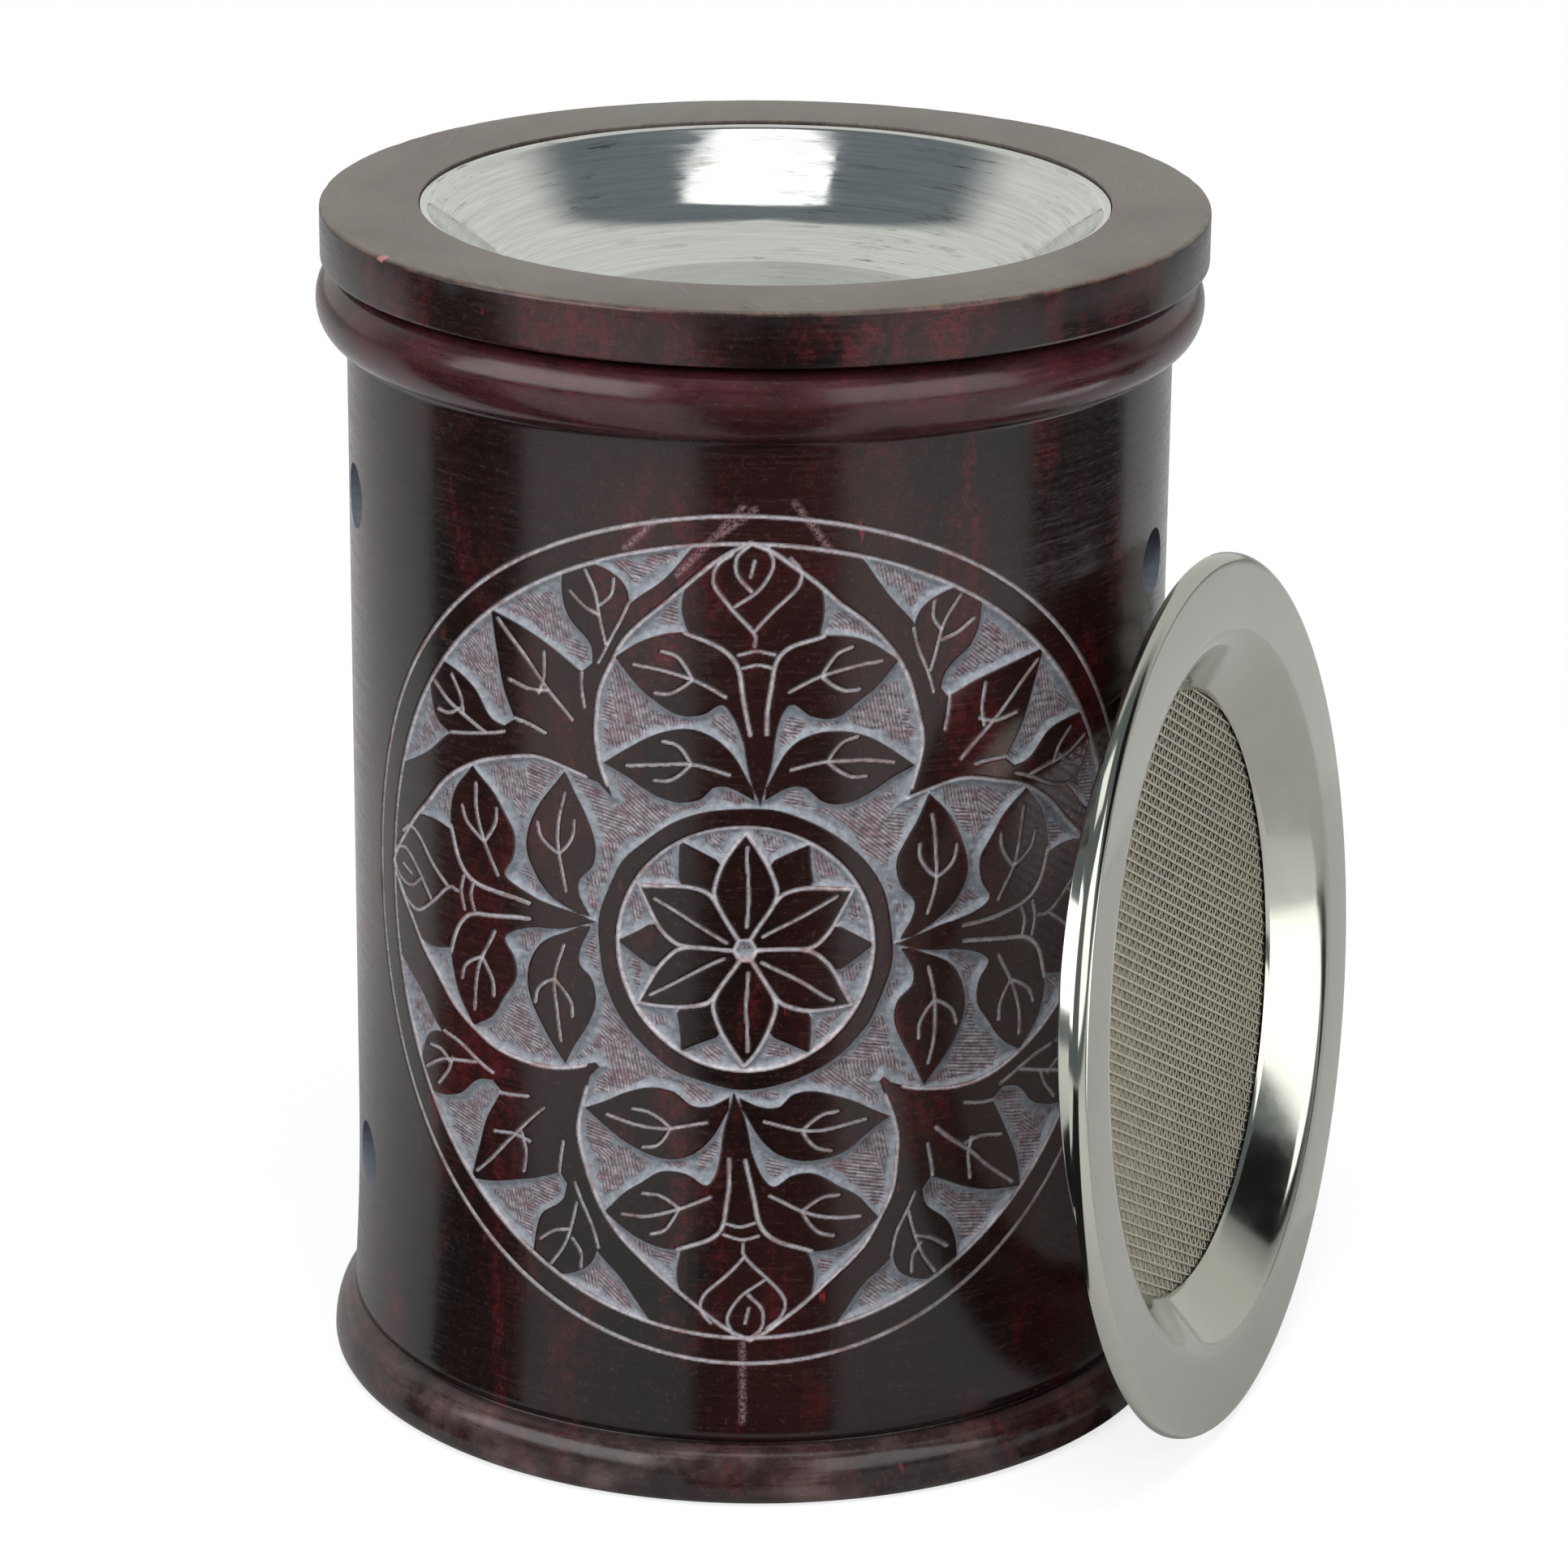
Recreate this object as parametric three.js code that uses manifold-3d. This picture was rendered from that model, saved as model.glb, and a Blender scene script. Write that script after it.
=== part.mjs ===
// Incense warmer: a turned soapstone tumbler that holds a tea light, closed by a stone lid ring
// with an aluminium dish in it, and a steel sieve that leans against its wall.
// Millimetres, +Z up. The origin is the centre of the underside of the foot and the front is -Y.

import * as THREE from 'three';
import { mergeVertices } from 'three/addons/utils/BufferGeometryUtils.js';
import Module from 'manifold-3d';

const wasm = await Module();
wasm.setup();

// Clearances
const SEAT_GAP = 0.2; // under a piece that stands on another
const FIT_GAP = 0.3; // beside a piece that drops into another
const LID_PLAY = 0.7; // between the lid's spigot and the bore, all round when it is centred

// Stone body
const BODY_HEIGHT = 105.2;
const WALL_RADIUS = 37.3;
const WALL_THICKNESS = 5.7;
const FLOOR_THICKNESS = 7;
const BEAD_HEIGHT = 6.8;
const BEAD_PROUD = 2.75;
const FLARE_START = 24; // height at which the wall starts to widen towards the foot
const FLARE_PROUD = 0.65;
const GROOVE_DEPTH = 0.5; // turned line just above the foot
const GROOVE_WIDTH = 0.9;
const FOOT_HEIGHT = 4.8;
const FOOT_PROUD = 1.9; // how far the foot stands out from the neck of the flare
const FOOT_TUCK = 0.75; // how far its lower edge is rounded in
const FOOT_TUCK_HEIGHT = 0.9;

// Vents drilled through the wall by eye, so each has its own azimuth in degrees. The upper ones
// are set out by their drop below the mouth, the lower ones by their rise above the floor inside.
const VENT_DIAMETER = 6;
const UPPER_VENTS = [
  { azimuth: -166.4, drop: 20.3 },
  { azimuth: -18.6, drop: 24.9 },
  { azimuth: 89, drop: 22.5 },
];
const LOWER_VENTS = [
  { azimuth: -164.5, rise: 14.5 },
  { azimuth: -16, rise: 14.5 },
  { azimuth: 91, rise: 14.5 },
];

// Stone lid ring
const LID_INSET = 0.05; // how far its edge stands inside the bead below it
const LID_THICKNESS = 5;
const LID_ARRIS = 0.3;
const SPIGOT_DEPTH = 3;
const LID_THROAT_STEP = 4.5; // how far the hole narrows under the dish

// Spun aluminium dish
const DISH_MOUTH_RADIUS = 29.3;
const DISH_FLOOR_RADIUS = 18;
const DISH_DEPTH = 10.2;
const DISH_LIP = 1.5;
const DISH_SHEET = 0.7;
const DISH_RECESS = 0.3; // how far the lip lies below the top of the lid

// Steel sieve: its flange is the front, and depths run back from it
const SIEVE_RADIUS = 40.4;
const SIEVE_SHEET = 0.5;
const SIEVE_RIM_ROUND = 1.2;
const SIEVE_RIM_DEPTH = 2;
const SIEVE_FLANGE_WIDTH = 7.9;
const SIEVE_BOWL_RADIUS = 28.2;
const SIEVE_BOWL_DEPTH = 3.9;
const SIEVE_BOWL_DRAW = 1.1; // how far the drawn wall of the bowl leans out over its depth
const SIEVE_AZIMUTH = -22.1;
const SIEVE_LEAN = 4.74;
const MESH_THICKNESS = 0.5;
const MESH_ANGLE = -27;
const MESH_PITCH = 4.6;
const MESH_STRAND = 0.9;
const MESH_BORDER = 1.6;
const RETAINER_SHEET = 0.4;
const RETAINER_LAP = 1.1; // how far the retaining ring reaches up outside the bowl
const RETAINER_LEDGE = 1.5; // how far it reaches in behind the mesh

// Tea light
const CUP_RADIUS = 19;
const CUP_HEIGHT = 16;
const CUP_SHEET = 0.4;
const WAX_HEIGHT = 11.5;
const WICK_RADIUS = 0.8;
const WICK_LENGTH = 18;
const SUSTAINER_RADIUS = 7;
const SUSTAINER_SHEET = 0.4;
const SUSTAINER_NECK_HEIGHT = 4;

// Facets of the round shapes
const TURNED_SEGMENTS = 54;
const SMALL_SEGMENTS = 36;
const WICK_SEGMENTS = 12;
const VENT_SEGMENTS = 20;
const BEAD_STEPS = 10;
const FLARE_STEPS = 4;
const ROUND_STEPS = 4;
const BOWL_STEPS = 5;
const DRILL_OVERRUN = 2; // how far a drill runs past both sides of the wall
const WELD_DISTANCE = 1e-4;

const BORE_RADIUS = WALL_RADIUS - WALL_THICKNESS;
const LID_RADIUS = WALL_RADIUS + BEAD_PROUD - LID_INSET;
const DEGREE = Math.PI / 180;

const point = (radius, height) => new THREE.Vector2(radius, height);

// Points of an upright ellipse about a centre, from one angle in degrees to another
function arc(centre, size, from, to, steps) {
  const points = [];
  for (let i = 0; i <= steps; i += 1) {
    const angle = (from + ((to - from) * i) / steps) * DEGREE;
    points.push(point(centre.x + size.x * Math.cos(angle), centre.y + size.y * Math.sin(angle)));
  }
  return points;
}

// Second side of a sheet: the line moved square to itself, with its corners mitred
function offset(line, distance) {
  const normals = [];
  for (let i = 0; i + 1 < line.length; i += 1) {
    const along = line[i + 1].clone().sub(line[i]).normalize();
    normals.push(point(-along.y, along.x));
  }
  return line.map((corner, i) => {
    const before = normals[Math.max(i - 1, 0)];
    const after = normals[Math.min(i, normals.length - 1)];
    const mitre = before.clone().add(after);
    return corner.clone().addScaledVector(mitre, (2 * distance) / mitre.lengthSq());
  });
}

// Closed outline of a sheet of even thickness whose first side is the line
const sheetOutline = (line, thickness) => [...line, ...offset(line, thickness).reverse()];

// Geometry with only positions, each shared corner held once
function welded(geometry) {
  geometry.deleteAttribute('normal');
  geometry.deleteAttribute('uv');
  return mergeVertices(geometry, WELD_DISTANCE);
}

// Solid of revolution about Z of an outline that runs anticlockwise in (radius, height)
function turned(outline, segments) {
  const onAxis = outline[0].x === 0;
  const profile = onAxis ? outline : [...outline, outline[0].clone()];
  const solid = welded(new THREE.LatheGeometry(profile, segments));
  return solid.rotateX(Math.PI / 2);
}

function toManifold(geometry) {
  const vertProperties = new Float32Array(geometry.attributes.position.array);
  const triVerts = new Uint32Array(geometry.index.array);
  return new wasm.Manifold(new wasm.Mesh({ numProp: 3, vertProperties, triVerts }));
}

function fromManifold(manifold) {
  const mesh = manifold.getMesh();
  const geometry = new THREE.BufferGeometry();
  geometry.setAttribute('position', new THREE.BufferAttribute(mesh.vertProperties, mesh.numProp));
  geometry.setIndex(new THREE.BufferAttribute(mesh.triVerts, 1));
  return geometry;
}

function piece(name, geometry, material) {
  const mesh = new THREE.Mesh(geometry, material);
  mesh.name = name;
  return mesh;
}

const soapstone = new THREE.MeshStandardMaterial({ color: 0x3c2626, roughness: 0.35, metalness: 0 });
const aluminium = new THREE.MeshStandardMaterial({ color: 0xc9cac8, roughness: 0.3, metalness: 1 });
const steel = new THREE.MeshStandardMaterial({ color: 0xb8b7b0, roughness: 0.12, metalness: 1 });
const steelWire = new THREE.MeshStandardMaterial({ color: 0x9a988c, roughness: 0.4, metalness: 1 });
const paraffin = new THREE.MeshStandardMaterial({ color: 0xf1ede2, roughness: 0.5, metalness: 0 });
const cotton = new THREE.MeshStandardMaterial({ color: 0xe6dfcf, roughness: 0.9, metalness: 0 });

// Outside of the body from the edge of its underside up to its mouth: a rounded foot, a turned
// line, a wall that flares a little towards them, and a bead under the mouth
function bodyOutside() {
  const neckRadius = WALL_RADIUS + FLARE_PROUD;
  const footCentre = point(neckRadius, FOOT_TUCK_HEIGHT);
  const tuckCentre = point(neckRadius + FOOT_PROUD - FOOT_TUCK, FOOT_TUCK_HEIGHT);
  const grooveTop = FOOT_HEIGHT + GROOVE_WIDTH;
  const flare = [];
  for (let i = 0; i <= FLARE_STEPS; i += 1) {
    const share = 1 - i / FLARE_STEPS;
    const height = FLARE_START + (grooveTop - FLARE_START) * share;
    flare.push(point(WALL_RADIUS + FLARE_PROUD * share ** 2, height));
  }
  const beadCentre = point(WALL_RADIUS, BODY_HEIGHT - BEAD_HEIGHT / 2);
  return [
    ...arc(tuckCentre, point(FOOT_TUCK, FOOT_TUCK_HEIGHT), -90, 0, ROUND_STEPS / 2),
    ...arc(footCentre, point(FOOT_PROUD, FOOT_HEIGHT - FOOT_TUCK_HEIGHT), 0, 90, ROUND_STEPS).slice(1),
    point(neckRadius - GROOVE_DEPTH, FOOT_HEIGHT + GROOVE_WIDTH / 2),
    ...flare,
    ...arc(beadCentre, point(BEAD_PROUD, BEAD_HEIGHT / 2), -90, 90, BEAD_STEPS),
  ];
}

// Drill for one vent, lying across the wall
function ventDrill(azimuth, height) {
  const length = WALL_THICKNESS + FLARE_PROUD + 2 * DRILL_OVERRUN;
  const drill = new THREE.CylinderGeometry(VENT_DIAMETER / 2, VENT_DIAMETER / 2, length, VENT_SEGMENTS);
  drill.rotateZ(-Math.PI / 2);
  drill.translate(BORE_RADIUS - DRILL_OVERRUN + length / 2, 0, height);
  return toManifold(welded(drill.rotateZ(azimuth * DEGREE)));
}

function stoneBody() {
  const outline = [
    point(0, 0),
    ...bodyOutside(),
    point(BORE_RADIUS, BODY_HEIGHT),
    point(BORE_RADIUS, FLOOR_THICKNESS),
    point(0, FLOOR_THICKNESS),
  ];
  let solid = toManifold(turned(outline, TURNED_SEGMENTS));
  for (const { azimuth, drop } of UPPER_VENTS) {
    solid = solid.subtract(ventDrill(azimuth, BODY_HEIGHT - drop));
  }
  for (const { azimuth, rise } of LOWER_VENTS) {
    solid = solid.subtract(ventDrill(azimuth, FLOOR_THICKNESS + rise));
  }
  return piece('stone_body', fromManifold(solid), soapstone);
}

// The dish's upper side, from the outer edge of its lip down to the middle of its floor
const dishLine = [
  point(DISH_MOUTH_RADIUS + DISH_LIP, 0),
  point(DISH_MOUTH_RADIUS, 0),
  point(DISH_FLOOR_RADIUS, -DISH_DEPTH),
  point(0, -DISH_DEPTH),
];
const dishUnderside = offset(dishLine, DISH_SHEET);

// Lid ring, from its underside at height 0: a spigot below, and a hole that is rebated for the dish
function lidRing() {
  const spigotRadius = BORE_RADIUS - LID_PLAY;
  const rebateRadius = dishLine[0].x + FIT_GAP;
  const rebateFloor = LID_THICKNESS - DISH_RECESS - DISH_SHEET - SEAT_GAP;
  const seatRadius = dishUnderside[1].x + FIT_GAP;
  const throatRadius = seatRadius - LID_THROAT_STEP;
  const dishSlope = DISH_DEPTH / (DISH_MOUTH_RADIUS - DISH_FLOOR_RADIUS);
  const outline = [
    point(throatRadius, -SPIGOT_DEPTH),
    point(spigotRadius, -SPIGOT_DEPTH),
    point(spigotRadius, 0),
    point(LID_RADIUS - LID_ARRIS, 0),
    point(LID_RADIUS, LID_ARRIS),
    point(LID_RADIUS, LID_THICKNESS - LID_ARRIS),
    point(LID_RADIUS - LID_ARRIS, LID_THICKNESS),
    point(rebateRadius, LID_THICKNESS),
    point(rebateRadius, rebateFloor),
    point(seatRadius, rebateFloor),
    point(throatRadius, rebateFloor - LID_THROAT_STEP * dishSlope),
  ];
  return piece('lid_ring', turned(outline, TURNED_SEGMENTS), soapstone);
}

function dish() {
  const outline = [...dishUnderside.slice().reverse(), ...dishLine];
  const mesh = piece('dish', turned(outline, TURNED_SEGMENTS), aluminium);
  mesh.position.z = LID_THICKNESS - DISH_RECESS;
  return mesh;
}

// The lid lies a little to one side, with its spigot against the bore
function lidGroup() {
  const group = new THREE.Group();
  group.position.set(LID_PLAY - FIT_GAP, 0, BODY_HEIGHT + SEAT_GAP);
  group.add(lidRing(), dish());
  return group;
}

// Front side of the sieve's frame, from the back of its rim over the flange and down the bowl
const sieveFrameLine = (() => {
  const flangeRadius = SIEVE_RADIUS - SIEVE_FLANGE_WIDTH;
  const rimCentre = point(SIEVE_RADIUS - SIEVE_RIM_ROUND, -SIEVE_RIM_ROUND);
  const bowl = new THREE.QuadraticBezierCurve(
    point(flangeRadius, 0),
    point(SIEVE_BOWL_RADIUS + SIEVE_BOWL_DRAW, 0),
    point(SIEVE_BOWL_RADIUS, -SIEVE_BOWL_DEPTH),
  );
  return [
    point(SIEVE_RADIUS, -SIEVE_RIM_DEPTH),
    ...arc(rimCentre, point(SIEVE_RIM_ROUND, SIEVE_RIM_ROUND), 0, 90, ROUND_STEPS),
    ...bowl.getPoints(BOWL_STEPS),
  ];
})();
const sieveFrameBack = offset(sieveFrameLine, SIEVE_SHEET);

// The mesh lies behind the bowl's edge, in a retaining ring that laps the bowl from behind
const meshFront = -SIEVE_BOWL_DEPTH - SEAT_GAP;
const retainerFront = meshFront - MESH_THICKNESS - SEAT_GAP;
const retainerBack = retainerFront - RETAINER_SHEET;
const retainerTop = -SIEVE_BOWL_DEPTH + RETAINER_LAP;
const bowlOutside = sieveFrameBack.filter((corner) => corner.y < retainerTop + SIEVE_SHEET);
const retainerInside = Math.max(...bowlOutside.map((corner) => corner.x)) + FIT_GAP;
const retainerRadius = retainerInside + RETAINER_SHEET;

function sieveFrame() {
  const outline = sheetOutline(sieveFrameLine, SIEVE_SHEET);
  return piece('sieve_frame', turned(outline, TURNED_SEGMENTS), steel);
}

function sieveRetainingRing() {
  const outline = [
    point(retainerInside - RETAINER_LEDGE, retainerBack),
    point(retainerRadius, retainerBack),
    point(retainerRadius, retainerTop),
    point(retainerInside, retainerTop),
    point(retainerInside, retainerFront),
    point(retainerInside - RETAINER_LEDGE, retainerFront),
  ];
  return piece('sieve_retaining_ring', turned(outline, TURNED_SEGMENTS), steel);
}

// Net of two sets of crossing strands, with a solid border where it is clamped
function sieveMesh() {
  const netRadius = retainerInside - FIT_GAP;
  const openRadius = netRadius - MESH_BORDER;
  const anchorRadius = netRadius - MESH_BORDER / 2;
  const border = [
    point(openRadius, -MESH_THICKNESS),
    point(netRadius, -MESH_THICKNESS),
    point(netRadius, 0),
    point(openRadius, 0),
  ];
  let net = toManifold(turned(border, TURNED_SEGMENTS));
  const count = Math.floor((openRadius - MESH_STRAND) / MESH_PITCH);
  for (let i = -count; i <= count; i += 1) {
    const aside = i * MESH_PITCH;
    const length = 2 * Math.sqrt(anchorRadius ** 2 - aside ** 2);
    const weft = new THREE.BoxGeometry(length, MESH_STRAND, MESH_THICKNESS);
    weft.translate(0, aside, -MESH_THICKNESS / 2);
    const warp = weft.clone().rotateZ(Math.PI / 2);
    net = net.add(toManifold(welded(weft))).add(toManifold(welded(warp)));
  }
  const mesh = piece('sieve_mesh', fromManifold(net), steelWire);
  mesh.position.z = meshFront;
  mesh.rotation.z = MESH_ANGLE * DEGREE;
  return mesh;
}

// The sieve stands on its rim and leans back until its retaining ring meets the wall
function sieveGroup() {
  const leanSin = Math.sin(SIEVE_LEAN * DEGREE);
  const leanCos = Math.cos(SIEVE_LEAN * DEGREE);
  const reach = Math.max(...sieveFrameLine.map((corner) => corner.x * leanCos - corner.y * leanSin));
  const distance = WALL_RADIUS + SEAT_GAP + retainerRadius * leanSin - retainerBack * leanCos;
  const leaning = new THREE.Group();
  leaning.position.set(0, -distance, reach);
  leaning.rotation.x = (90 - SIEVE_LEAN) * DEGREE;
  leaning.add(sieveFrame(), sieveMesh(), sieveRetainingRing());
  const group = new THREE.Group();
  group.rotation.z = (SIEVE_AZIMUTH + 90) * DEGREE;
  group.add(leaning);
  return group;
}

function tealightCup() {
  const innerRadius = CUP_RADIUS - CUP_SHEET;
  const outline = [
    point(0, 0),
    point(CUP_RADIUS, 0),
    point(CUP_RADIUS, CUP_HEIGHT),
    point(innerRadius, CUP_HEIGHT),
    point(innerRadius, CUP_SHEET),
    point(0, CUP_SHEET),
  ];
  return piece('tealight_cup', turned(outline, SMALL_SEGMENTS), aluminium);
}

// Wick sustainer on the floor of the cup: a tin disc with a neck that grips the wick
const sustainerBottom = CUP_SHEET + SEAT_GAP;
const sustainerTop = sustainerBottom + SUSTAINER_SHEET;
const neckTop = sustainerBottom + SUSTAINER_NECK_HEIGHT;
const neckInside = WICK_RADIUS + SEAT_GAP;
const neckOutside = neckInside + SUSTAINER_SHEET;

function wickSustainer() {
  const outline = [
    point(neckInside, sustainerBottom),
    point(SUSTAINER_RADIUS, sustainerBottom),
    point(SUSTAINER_RADIUS, sustainerTop),
    point(neckOutside, sustainerTop),
    point(neckOutside, neckTop),
    point(neckInside, neckTop),
  ];
  return piece('wick_sustainer', turned(outline, SMALL_SEGMENTS), aluminium);
}

function tealightWick() {
  const outline = [
    point(0, sustainerBottom),
    point(WICK_RADIUS, sustainerBottom),
    point(WICK_RADIUS, sustainerBottom + WICK_LENGTH),
    point(0, sustainerBottom + WICK_LENGTH),
  ];
  return piece('tealight_wick', turned(outline, WICK_SEGMENTS), cotton);
}

// Wax cast round the sustainer and the wick
function tealightWax() {
  const waxRadius = CUP_RADIUS - CUP_SHEET - SEAT_GAP;
  const waxTop = sustainerBottom + WAX_HEIGHT;
  const pocketRadius = SUSTAINER_RADIUS + SEAT_GAP;
  const neckPocket = neckOutside + SEAT_GAP;
  const wickHole = WICK_RADIUS + SEAT_GAP;
  const outline = [
    point(pocketRadius, sustainerBottom),
    point(waxRadius, sustainerBottom),
    point(waxRadius, waxTop),
    point(wickHole, waxTop),
    point(wickHole, neckTop + SEAT_GAP),
    point(neckPocket, neckTop + SEAT_GAP),
    point(neckPocket, sustainerTop + SEAT_GAP),
    point(pocketRadius, sustainerTop + SEAT_GAP),
  ];
  return piece('tealight_wax', turned(outline, SMALL_SEGMENTS), paraffin);
}

function tealightGroup() {
  const group = new THREE.Group();
  group.position.z = FLOOR_THICKNESS + SEAT_GAP;
  group.add(tealightCup(), tealightWax(), wickSustainer(), tealightWick());
  return group;
}

const incenseWarmer = new THREE.Group();
incenseWarmer.add(stoneBody(), lidGroup(), tealightGroup(), sieveGroup());

export default incenseWarmer;
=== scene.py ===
"""Looks of the incense warmer: a dyed and carved soapstone tumbler with a stone lid ring, a spun
aluminium dish, a tea light inside, and a steel sieve that leans against its wall.

Shapes are written in millimetres about the centre of the underside, with +Z up and the front at -Y."""

import math

import bmesh
import bpy
import numpy as np
from mathutils import Matrix, Vector


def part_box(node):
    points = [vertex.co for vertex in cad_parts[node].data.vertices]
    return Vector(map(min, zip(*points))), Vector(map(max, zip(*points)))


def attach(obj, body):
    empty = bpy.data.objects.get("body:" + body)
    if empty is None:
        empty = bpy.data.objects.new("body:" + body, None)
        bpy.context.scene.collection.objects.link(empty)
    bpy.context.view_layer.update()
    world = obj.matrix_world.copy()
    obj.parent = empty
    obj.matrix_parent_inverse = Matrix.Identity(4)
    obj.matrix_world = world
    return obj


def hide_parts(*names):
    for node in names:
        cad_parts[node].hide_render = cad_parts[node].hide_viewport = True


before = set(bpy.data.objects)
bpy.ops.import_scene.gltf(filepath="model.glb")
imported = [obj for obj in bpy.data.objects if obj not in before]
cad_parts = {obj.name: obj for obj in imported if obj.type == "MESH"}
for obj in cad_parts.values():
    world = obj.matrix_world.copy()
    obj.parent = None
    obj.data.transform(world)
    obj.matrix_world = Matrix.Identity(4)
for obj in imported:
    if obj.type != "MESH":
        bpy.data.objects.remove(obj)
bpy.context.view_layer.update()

MM = 0.001

# Camera
CAMERA_PLACE = (0, -516.31, 235.98)
CAMERA_PITCH = 19.35
CAMERA_YAW = 0.282
CAMERA_ROLL = 0.521
CAMERA_LENS = 135.19
CAMERA_SENSOR = 36

# Stage, with places in millimetres
WHITE = (1, 1, 1, 1)
FLOOR_WHITE = (0.9, 0.9, 0.9, 1)
FLOOR_SIZE = 8000
FLOOR_DROP = 0.2
DARK_ROOM = (0.17, 0.195, 0.21, 1)
PALE_BACKDROP = (0.74, 0.745, 0.72, 1)

# Painted dark reflections: strips just above the floor that only reflections see, standing in for shaded
# floor; for each, the wall's two azimuths that mirror it, its near and far end, its grey
PAINTED_DARK_STRIPS = {
    "front_card": (-98, -79, 8, 900, 0.01),
    "left_card": (-140, -123, 8, 900, 0.02),
    "right_card": (-51, -31, 190, 420, 0.02),
    "sieve_shade": (-55, -38, 4, 13, 0.02),
}
STRIP_HEIGHT = 0.4

# Upright cards that only reflections see: a dark flag as painted dark reflection and two glowing panels as
# painted highlights on the bead and the lid; for each, azimuth, distance, width, bottom, top, grey, glow
UPRIGHT_REFLECTION_CARDS = {
    "right_flag": (4, 500, 210, 80, 420, 0.01, 0),
    "left_highlight_panel": (-145, 600, 620, 150, 600, 0, 3.5),
    "right_highlight_panel": (-48, 600, 560, 110, 560, 0, 2.3),
}

# Glowing sector beside the sieve that only reflections see, a painted reflection of evenly lit floor in the
# sieve: near and far radius, two azimuths, height
SIEVE_REFLECTION_SECTOR = (72, 215, -12, 48, 0.6)
SIEVE_REFLECTION_SECTOR_GLOW = 0.6
# Glowing panel that only reflections see: painted highlight, the bright strip in the sieve's cone
SIEVE_HIGHLIGHT_PANEL = [(98, -45, 26), (130, 8, 26), (130, 8, 50), (98, -45, 50)]
SIEVE_PANEL_GLOW = 2.4
# Glowing card that only reflections see: painted reflection of the overhead softbox, which the lamp itself
# doesn't show
SOFTBOX_REFLECTION = [(-210, -420, 810), (300, -420, 810), (300, -170, 810), (-210, -170, 810)]
SOFTBOX_GLOW = 1.7

# Lamps, in metres: place, target, size, power
LAMPS = {
    "overhead": ((0.045, -0.27, 0.81), (0, -0.03, 0.1), (0.52, 0.26), 6),
    "left_fill": ((-0.7, -0.75, 0.75), (0, 0, 0.05), (0.6, 0.6), 11),
    "right_fill": ((0.75, -0.7, 0.7), (0, 0, 0.05), (0.6, 0.6), 6),
}

# Stone body
BODY_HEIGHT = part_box("stone_body")[1].z / MM
WALL_RADIUS = 37.3
BORE_RADIUS = 31.6
CHAMBER_FLOOR = 7
CHAMBER_ROUND = 2
MOUTH_ROUND = 0.4
BEAD_SIZE = (2.75, 3.4)
BEAD_FILLET = 0.5
FLARE_TOP = 24
FLARE_PROUD = 0.65
GROOVE_HEIGHTS = (4.8, 5.25, 5.7)
GROOVE_DEPTH = 0.5
FOOT_SIZE = (1.9, 3.9)
FOOT_TUCK = (0.75, 0.9)
BODY_COLUMNS = 240
WALL_ROW = 1.0
VENT_RADIUS = 3
DRILL_REACH = 8
VENTS = ((-166.4, 84.9), (-18.6, 80.3), (89, 82.7), (-164.5, 21.5), (-16, 21.5), (91, 21.5))

# Lid ring and dish
LID_ASIDE = 0.4
LID_UNDERSIDE = BODY_HEIGHT + 0.2
LID_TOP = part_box("lid_ring")[1].z / MM
LID_RADIUS = 40
LID_ARRIS = 0.45
SANDING_CENTRE = 85
SPIGOT_RADIUS = 30.9
SPIGOT_DEPTH = 3
REBATE_RADIUS = 31.1
REBATE_FLOOR = LID_TOP - 1.2
SEAT_PLAY = 0.2
THROAT_RADIUS = 26
CHIP_AZIMUTH = -146
CHIP_SIZE = 0.7
NICK_DEPTHS = (0.1, 0.08)
SANDED_DEPTH = 0.3
DISH_RADIUS = 31
DISH_TOP = LID_TOP - 0.3
DISH_MOUTH = 30.5
DISH_LIP = 0.45
DISH_BEND_RADIUS = 25.3
DISH_FLOOR_RADIUS = 18
DISH_DEPTH = 10.2
DISH_SHEET = 0.7
DISH_SLOPES = (49, 15)

# Sieve, in its own frame: depths run back from the flange
SIEVE_AZIMUTH = -21.2
SIEVE_LEAN = 4.74
SIEVE_WALL_GAP = 0.2
SIEVE_RADIUS = 40.4
SIEVE_SHEET = 0.5
SIEVE_RIM_ROUND = 1.2
SIEVE_RIM_DEPTH = 1.4
FLANGE_RADIUS = 32.8
FLANGE_BEND = 1.4
BOWL_RADIUS = 27.7
BOWL_DEPTH = 4.6
BOWL_LIP = (0.2, 0.35)
RETAINER_RADIUS = 29.9
RETAINER_SHEET = 0.4
RETAINER_DEPTHS = (3.45, 5.65, 6.05)
RETAINER_LEDGE = 1.5
NET_DEPTH = 5.1
NET_RADIUS = 29.1
WEAVE_ANGLE = -28
WEAVE_PITCHES = (0.95, 0.8)
WEAVE_CRIMPS = (0, 0.06)
WEAVE_LIFTS = (0.2, 0)
WIRE_RADII = (0.15, 0.17)
WIRE_END_GAP = 0.2

# Tea light
CUP_BOTTOM = 7.2
CUP_RADIUS = 19
CUP_HEIGHT = 16
CUP_SHEET = 0.4
FLUTES = 60
FLUTE_SHARE = 0.004
WAX_BOTTOM = 0.6
WAX_TOP = 12.1
WAX_PLAY = 0.2
SUSTAINER_RADIUS = 7
SUSTAINER_SHEET = 0.4
NECK_RADIUS = 1.4
NECK_TOP = 4.6
WICK_RADIUS = 0.8
WICK_TOP = 18.6
WICK_STRANDS = 3
WICK_TWIST = 1.3
STRAND_ASIDE = 0.36
STRAND_RADIUS = 0.42

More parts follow.
